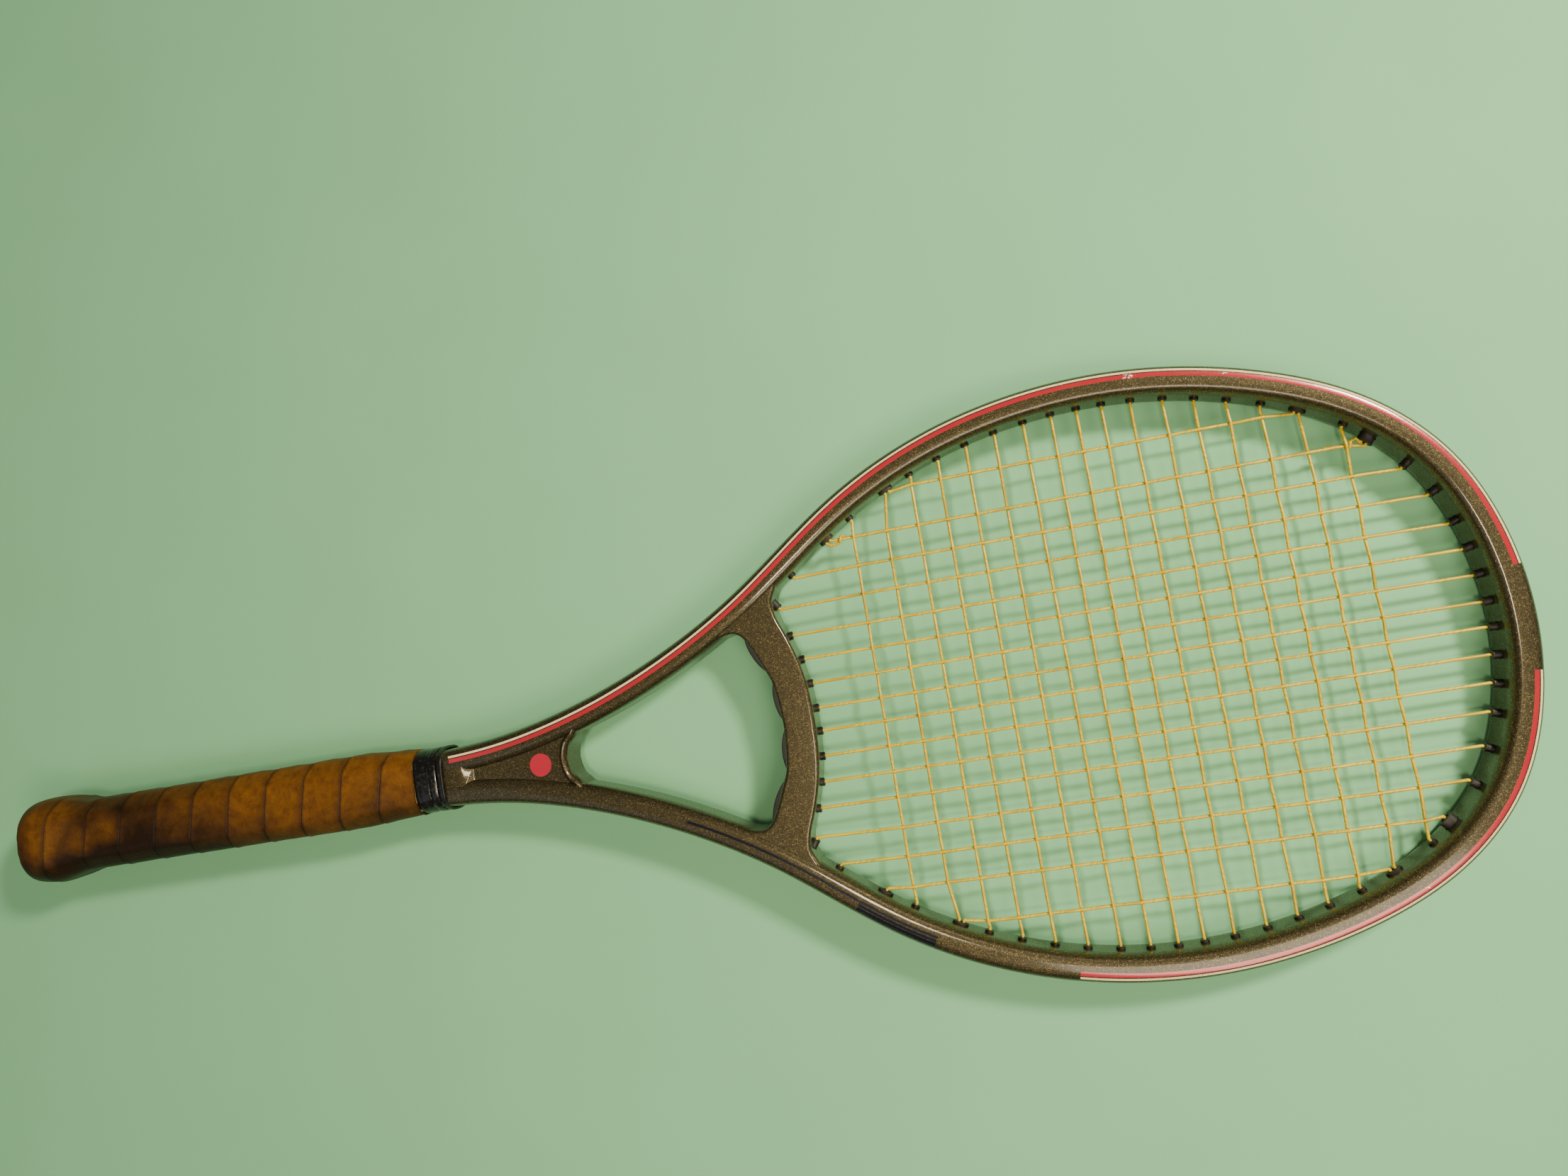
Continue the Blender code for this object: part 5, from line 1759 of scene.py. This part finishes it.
@dataclass(frozen=True)
class YellowString:
    """Nylon string with a wrapped core: golden and a little see-through, with a faint spiral whose paler and deeper
    tones are a painted sheen, and grey dirt.
    """

    name: str = "yellow_nylon_string"
    gold: str = "#dcb900"
    # deep and pale are the dark and light sides of the painted sheen on the spiral.
    deep: str = "#d2ac00"
    pale: str = "#e8c814"
    dirt: str = "#937604"
    spiral: float = 1.6 * MM        # the real wrap's turns are 0.3 mm apart; drawn wider so that they show

    def build(self) -> bpy.types.Material:
        """Makes the material.

        Returns:
            The material.
        """
        made, tree, shader, place = new_material(self.name)
        lay = add_node(tree, "Attribute", attribute_name="lay")["Vector"]
        parts = add_node(tree, "SeparateXYZ", {"Vector": lay})
        angle = add_node(tree, "Math", {0: parts["X"], 1: math.tau / self.spiral}, operation="MULTIPLY")[0]
        twist = 0.0
        for wave, part in (("SINE", "Y"), ("COSINE", "Z")):
            turned_by = add_node(tree, "Math", {0: angle}, operation=wave)[0]
            twist = add_node(tree, "Math", {0: turned_by, 1: parts[part], 2: twist}, operation="MULTIPLY_ADD")[0]
        patch = add_node(tree, "TexNoise", {"Vector": place, "Scale": 1 / (14 * MM), "Detail": 5.0})
        wrap = add_node(tree, "MapRange", {"Value": twist, "From Min": -1.0, "From Max": 1.0})
        # Painted sheen: the colour turns paler and deeper round the spiral of the wrap.
        tone = add_node(tree, "ValToRGB", {"Fac": wrap["Result"]}, stops=(
            (0.15, linear(self.deep)), (0.55, linear(self.gold)), (0.95, linear(self.pale))))
        soiled = add_node(tree, "MapRange", {"Value": patch["Fac"], "From Min": 0.5, "From Max": 0.75,
                                             "To Max": 0.55})
        over = add_node(tree, "Mix", {0: soiled["Result"], 6: tone["Color"], 7: linear(self.dirt)},
                        data_type="RGBA")
        tilt = add_node(tree, "Bump", {"Strength": 0.08, "Distance": 0.1 * MM, "Height": wrap["Result"]})
        fill(tree, shader, {"Base Color": over[2], "Roughness": 0.34, "IOR": 1.53,
                            "Subsurface Weight": 0.25, "Subsurface Radius": (1.0, 0.7, 0.15),
                            "Subsurface Scale": 0.6 * MM, "Coat Weight": 0.15, "Coat Roughness": 0.2,
                            "Normal": tilt["Normal"]})
        return made


@dataclass(frozen=True)
class GripLeather:
    """Vegetable-tanned cowhide, years in the hand: brown, darkened where it is held and towards the -Y side, with
    painted shade along the seams.
    """

    handle: Handle
    name: str = "worn_brown_leather"
    tan: str = "#6d4310"
    brown: str = "#4e2a06"
    dark: str = "#150b03"
    pale: str = "#7f5316"
    pore: float = 0.9 * MM
    rubbed: Sequence[tuple[float, float, float]] = ((50, 1, 12), (34, -4, 11), (14, -2, 11))

    def build(self) -> bpy.types.Material:
        """Makes the material.

        Returns:
            The material.
        """
        made, tree, shader, place = new_material(self.name)
        handle = self.handle
        low, high = handle.stations[0] * MM, handle.stations[-1] * MM
        spot = add_node(tree, "SeparateXYZ", {"Vector": place})
        share = add_node(tree, "MapRange", {"Value": spot["X"], "From Min": low, "From Max": high})
        angle = add_node(tree, "Math", {0: spot["Z"], 1: spot["Y"]}, operation="ARCTAN2")
        # Nine whole turns keep the phase above zero all along the handle.
        lead = 9 - handle.first_seam / handle.pitch
        wound = add_node(tree, "Math", {0: angle[0], 1: 1 / math.tau, 2: lead}, operation="MULTIPLY_ADD")
        turn = add_node(tree, "Math", {0: spot["X"], 1: 1 / handle.pitch, 2: wound[0]},
                        operation="MULTIPLY_ADD")
        phase = add_node(tree, "Math", {0: turn[0]}, operation="FRACT")
        patch = add_node(tree, "TexNoise", {"Vector": place, "Scale": 1 / (32 * MM), "Detail": 6.0,
                                            "Roughness": 0.62})
        mottle = add_node(tree, "TexNoise", {"Vector": place, "Scale": 1 / (5 * MM), "Detail": 6.0,
                                             "Roughness": 0.7})
        grain = add_node(tree, "TexVoronoi", {"Vector": place, "Scale": 1 / self.pore}, feature="SMOOTH_F1")
        grip = add_node(tree, "ValToRGB", {"Fac": share["Result"]}, stops=(
            (0.0, SOLID), (0.02, GREY[0.75]), (0.045, GREY[0.25]), (0.09, GREY[0.5]), (0.14, SOLID), (0.33, SOLID),
            (0.4, GREY[0.75]), (0.5, GREY[0.25]), (0.7, CLEAR), (1.0, GREY[0.25])))
        # Darker towards the -Y side, all along the handle.
        lower = add_node(tree, "MapRange", {"Value": spot["Y"], "From Min": 4 * MM, "From Max": -16 * MM,
                                            "To Min": 0.0, "To Max": 0.42})
        # held adds the darkening where the hand holds it to the darkening towards the -Y side.
        held = add_node(tree, "Math", {0: grip["Color"], 1: 0.42, 2: lower["Result"]},
                        operation="MULTIPLY_ADD")[0]
        for x, y, radius in self.rubbed:
            away = add_node(tree, "VectorMath", {0: place, 1: (x * MM, y * MM, 16 * MM)}, operation="DISTANCE")
            clear = add_node(tree, "MapRange", {"Value": away["Value"], "From Max": radius * MM,
                                                "To Min": 0.4, "To Max": 0.0}, interpolation_type="SMOOTHSTEP")
            held = add_node(tree, "Math", {0: held, 1: clear["Result"]}, operation="SUBTRACT")[0]
        stain = add_node(tree, "Math", {0: patch["Fac"], 1: held}, operation="ADD")
        tone = add_node(tree, "ValToRGB", {"Fac": mottle["Fac"]}, stops=(
            (0.25, linear(self.brown)), (0.5, linear(self.tan)), (0.75, linear(self.pale))))
        soiled = add_node(tree, "MapRange", {"Value": stain[0], "From Min": 0.52, "From Max": 1.15,
                                             "To Max": 0.94})
        over = add_node(tree, "Mix", {0: soiled["Result"], 6: tone["Color"], 7: linear(self.dark)},
                        data_type="RGBA")
        # Painted shade along each seam, where one turn laps over the next.
        seam = add_node(tree, "ValToRGB", {"Fac": phase[0]}, stops=(
            (0.0, GREY[0.75]), (0.015, GREY[0.5]), (0.07, CLEAR), (0.72, CLEAR), (0.9, GREY[0.25]),
            (0.965, GREY[0.75]), (1.0, SOLID)))
        shade = add_node(tree, "Math", {0: seam["Color"], 1: 0.85}, operation="MULTIPLY")
        over = add_node(tree, "Mix", {0: shade[0], 6: over[2], 7: linear(self.dark)},
                        data_type="RGBA")
        rough = add_node(tree, "MapRange", {"Value": soiled["Result"], "To Min": 0.62, "To Max": 0.42})
        rise = add_node(tree, "Math", {0: mottle["Fac"], 1: 0.6, 2: grain["Distance"]},
                        operation="MULTIPLY_ADD")
        tilt = add_node(tree, "Bump", {"Strength": 0.45, "Distance": 0.25 * MM, "Height": rise[0]})
        fill(tree, shader, {"Base Color": over[2], "Roughness": rough["Result"], "IOR": 1.4,
                            "Specular IOR Level": 0.3, "Normal": tilt["Normal"]})
        return made


@dataclass(frozen=True)
class GlossVinyl:
    """Stretched vinyl tape or rubber: black and glossy, with fine stretch marks along it and a little dust."""

    name: str = "stretched_black_vinyl_tape"
    colour: str = "#0c0a09"
    dust: str = "#3b342c"
    roughness: float = 0.16

    def build(self) -> bpy.types.Material:
        """Makes the material.

        Returns:
            The material.
        """
        made, tree, shader, place = new_material(self.name)
        long = add_node(tree, "Mapping", {"Vector": place, "Scale": (3.0, 1.0, 1.0)})
        creases = add_node(tree, "TexNoise", {"Vector": long["Vector"], "Scale": 1 / (4 * MM),
                                              "Detail": 3.0, "Distortion": 0.6})
        dust = add_node(tree, "TexNoise", {"Vector": place, "Scale": 1 / (1.5 * MM), "Detail": 6.0})
        tone = add_node(tree, "ValToRGB", {"Fac": dust["Fac"]}, stops=(
            (0.55, linear(self.colour)), (0.85, linear(self.dust))))
        rough = add_node(tree, "MapRange", {"Value": dust["Fac"], "From Min": 0.4, "From Max": 0.8,
                                            "To Min": self.roughness, "To Max": self.roughness + 0.3})
        tilt = add_node(tree, "Bump", {"Strength": 0.15, "Distance": 0.4 * MM, "Height": creases["Fac"]})
        fill(tree, shader, {"Base Color": tone["Color"], "Roughness": rough["Result"],
                            "IOR": 1.52, "Normal": tilt["Normal"]})
        return made


@dataclass(frozen=True)
class PalletFoam:
    """Cast polyurethane foam: a matt cream skin with fine pin holes, painted darker as shade."""

    name: str = "cast_polyurethane_foam"
    colour: str = "#c8b98e"
    pin_hole_shade: str = "#8e8059"
    bubble: float = 0.8 * MM

    def build(self) -> bpy.types.Material:
        """Makes the material.

        Returns:
            The material.
        """
        made, tree, shader, place = new_material(self.name)
        cells = add_node(tree, "TexVoronoi", {"Vector": place, "Scale": 1 / self.bubble})
        # Painted shade: the pin holes take the darker colour.
        tone = add_node(tree, "ValToRGB", {"Fac": cells["Distance"]}, stops=(
            (0.1, linear(self.pin_hole_shade)), (0.35, linear(self.colour))))
        tilt = add_node(tree, "Bump", {"Strength": 0.5, "Distance": 0.2 * MM, "Height": cells["Distance"]})
        fill(tree, shader, {"Base Color": tone["Color"], "Roughness": 0.85,
                            "Normal": tilt["Normal"]})
        return made


@dataclass(frozen=True)
class ZincSteel:
    """Drawn steel wire and pressed steel with a thin zinc coat: grey, streaked along its length."""

    name: str = "zinc_plated_steel"
    colour: str = "#b3b1a8"
    stain: str = "#77695a"

    def build(self) -> bpy.types.Material:
        """Makes the material.

        Returns:
            The material.
        """
        made, tree, shader, place = new_material(self.name)
        streak = add_node(tree, "TexNoise", {"Vector": place, "Scale": 1 / (0.7 * MM), "Detail": 4.0})
        tone = add_node(tree, "ValToRGB", {"Fac": streak["Fac"]}, stops=(
            (0.45, linear(self.colour)), (0.8, linear(self.stain))))
        rough = add_node(tree, "MapRange", {"Value": streak["Fac"], "To Min": 0.2, "To Max": 0.5})
        fill(tree, shader, {"Base Color": tone["Color"], "Metallic": 1.0,
                            "Roughness": rough["Result"]})
        return made


# ---------------------------------------------------------------- studio

@dataclass
class Studio:
    """Pale floor, soft lights and the camera."""

    butt_rest: Pair = (11 * MM, -19.75 * MM)
    head_rest: Pair = (679 * MM, -10.6 * MM)
    floor_size: float = 12.0
    floor_colour: str = "#8ccf9b"
    floor_shade: str = "#86c793"
    room_colour: str = "#d6ddd4"
    room_strength: float = 0.2
    camera: Sequence[float] = (0.46378, 0.01978, 0.45754)
    right: Sequence[float] = (0.97220, -0.16182, -0.16921)
    up: Sequence[float] = (0.17388, 0.98300, 0.05899)
    back: Sequence[float] = (0.15679, -0.08677, 0.98381)
    lens: float = 23.81

    def floor(self) -> None:
        """Lays the floor under the butt's flare and the tip of the head."""
        (low_x, low_z), (high_x, high_z) = self.butt_rest, self.head_rest
        slope = math.atan2(high_z - low_z, high_x - low_x)
        bpy.ops.object.select_all(action="DESELECT")
        bpy.ops.mesh.primitive_grid_add(x_subdivisions=8, y_subdivisions=8, size=self.floor_size)
        item = bpy.context.object
        item.name = "studio_floor"
        item.data.transform(Matrix.Translation((low_x, 0, low_z)) @ Matrix.Rotation(-slope, 4, "Y"))
        made, tree, shader, place = new_material("pale_studio_floor")
        cloud = add_node(tree, "TexNoise", {"Vector": place, "Scale": 14.0, "Detail": 3.0})
        tone = add_node(tree, "Mix", {0: cloud["Fac"], 6: linear(self.floor_colour), 7: linear(self.floor_shade)},
                        data_type="RGBA")
        fill(tree, shader, {"Base Color": tone[2], "Roughness": 0.85})
        item.data.materials.append(made)

    def lamp(self, name: str, place: Sequence[float], aim: Sequence[float], size: float, watts: float,
             colour: Sequence[float]) -> None:
        """Hangs a soft square light.

        Args:
            name: Name of the light.
            place: Where it hangs.
            aim: The point that it faces.
            size: Its side.
            watts: Its power.
            colour: Its colour.
        """
        data = bpy.data.lights.new(name, "AREA")
        data.size = size
        data.energy = watts
        data.color = colour
        item = bpy.data.objects.new(name, data)
        bpy.context.scene.collection.objects.link(item)
        item.location = place
        item.rotation_euler = (Vector(aim) - Vector(place)).to_track_quat("-Z", "Y").to_euler()

    def lights(self) -> None:
        """Hangs a key light over the head's +Y side, with fills, in a pale room."""
        for name, place, aim, size, watts, colour in (
                ("key", (1.2, 0.5, 0.85), (0.45, 0.0, 0.0), 0.16, 17.0, (1.0, 0.9, 0.74)),
                ("overhead", (0.42, -0.1, 1.15), (0.4, 0.0, 0.0), 0.14, 4.0, (1.0, 0.86, 0.64)),
                ("sheen", (0.8, -0.42, 0.95), (0.55, -0.1, 0.0), 0.45, 6.0, (1.0, 0.87, 0.68)),
                ("fill", (-0.6, -0.6, 1.3), (0.2, 0.0, 0.0), 1.0, 1.6, (0.95, 0.98, 1.0))):
            self.lamp(name, place, aim, size, watts, colour)
        world = bpy.data.worlds.new("room")
        bpy.context.scene.world = world
        world.use_nodes = True
        backdrop = world.node_tree.nodes["Background"]
        fill(world.node_tree, backdrop, {"Color": linear(self.room_colour), "Strength": self.room_strength})

    def shoot(self) -> None:
        """Places the camera."""
        data = bpy.data.cameras.new("camera")
        data.lens = self.lens
        data.sensor_width = 36
        data.clip_start, data.clip_end = 0.01, 50
        item = bpy.data.objects.new("camera", data)
        bpy.context.scene.collection.objects.link(item)
        turn = Matrix((self.right, self.up, self.back)).transposed().to_4x4()
        item.matrix_world = Matrix.Translation(self.camera) @ turn
        bpy.context.scene.camera = item


# ---------------------------------------------------------------- assembly

@dataclass
class Racket:
    """The whole racket, put together on the frame."""

    frame: dict
    hoop: HoopTube = field(default_factory=HoopTube)
    bed: StringBed = field(default_factory=StringBed)
    handle: Handle = field(default_factory=Handle)
    grommets: Grommets = field(default_factory=Grommets)

    def fit(self, item: bpy.types.Object, node: str, finish: bpy.types.Material) -> None:
        """Puts a piece on its body in place of a CAD node, with its finish.

        Args:
            item: The piece.
            node: The CAD node that it stands for.
            finish: Its material.
        """
        item.data.materials.clear()
        item.data.materials.append(finish)
        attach(item, "root")
        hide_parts(node)
        LOG.info("%s: %d faces, for %s", item.name, len(item.data.polygons), node)

    def build(self) -> None:
        """Makes every piece and dresses the CAD nodes that stay."""
        striped = CarbonLacquer().build()
        plain = CarbonLacquer(name="flake_lacquer_on_moulding", striped=False).build()
        nylon = MouldedNylon().build()
        self.fit(self.hoop.build(self.bed), "hoop_tube", striped)
        self.fit(ThroatBridge().build(self.hoop, self.bed), "throat_bridge", plain)
        dotted = CarbonLacquer(name="flake_lacquer_with_red_disc", striped=False, disc=True).build()
        self.fit(ThroatWedge().build(self.hoop), "throat_wedge", dotted)
        for node, item in {**self.grommets.strips(self.hoop, self.bed), **self.grommets.pads(self.bed)}.items():
            self.fit(item, node, nylon)
        self.fit(self.bed.build(), "string", YellowString().build())
        self.fit(self.handle.wrap(), "leather_grip", GripLeather(self.handle).build())
        self.fit(self.handle.tape(), "finishing_tape", GlossVinyl().build())
        collar = GlossVinyl(name="black_rubber_ring", roughness=0.3).build()
        self.fit(self.handle.collar(), "collar_ring", collar)
        plastic = MouldedNylon(name="moulded_cap_plastic", colour="#1a130d", rubbed="#3d2c1c",
                               roughness=0.5).build()
        self.fit(self.handle.cap(), "butt_cap", plastic)
        self.fit(self.handle.door(), "butt_door", plastic)
        foam, steel = PalletFoam().build(), ZincSteel().build()
        for node, finish in (("front_pallet", foam), ("back_pallet", foam), ("butt_staple_1", steel),
                             ("butt_staple_2", steel), ("grip_tack", steel)):
            self.frame["nodes"][node].material_slots[0].material = finish


def main() -> None:
    """Builds the racket and the studio."""
    logging.basicConfig(level=logging.INFO, format="%(name)s: %(message)s", stream=sys.stdout)
    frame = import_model()
    studio = Studio()
    studio.shoot()
    studio.floor()
    studio.lights()
    Racket(frame).build()
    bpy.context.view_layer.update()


if __name__ == "__main__":
    main()
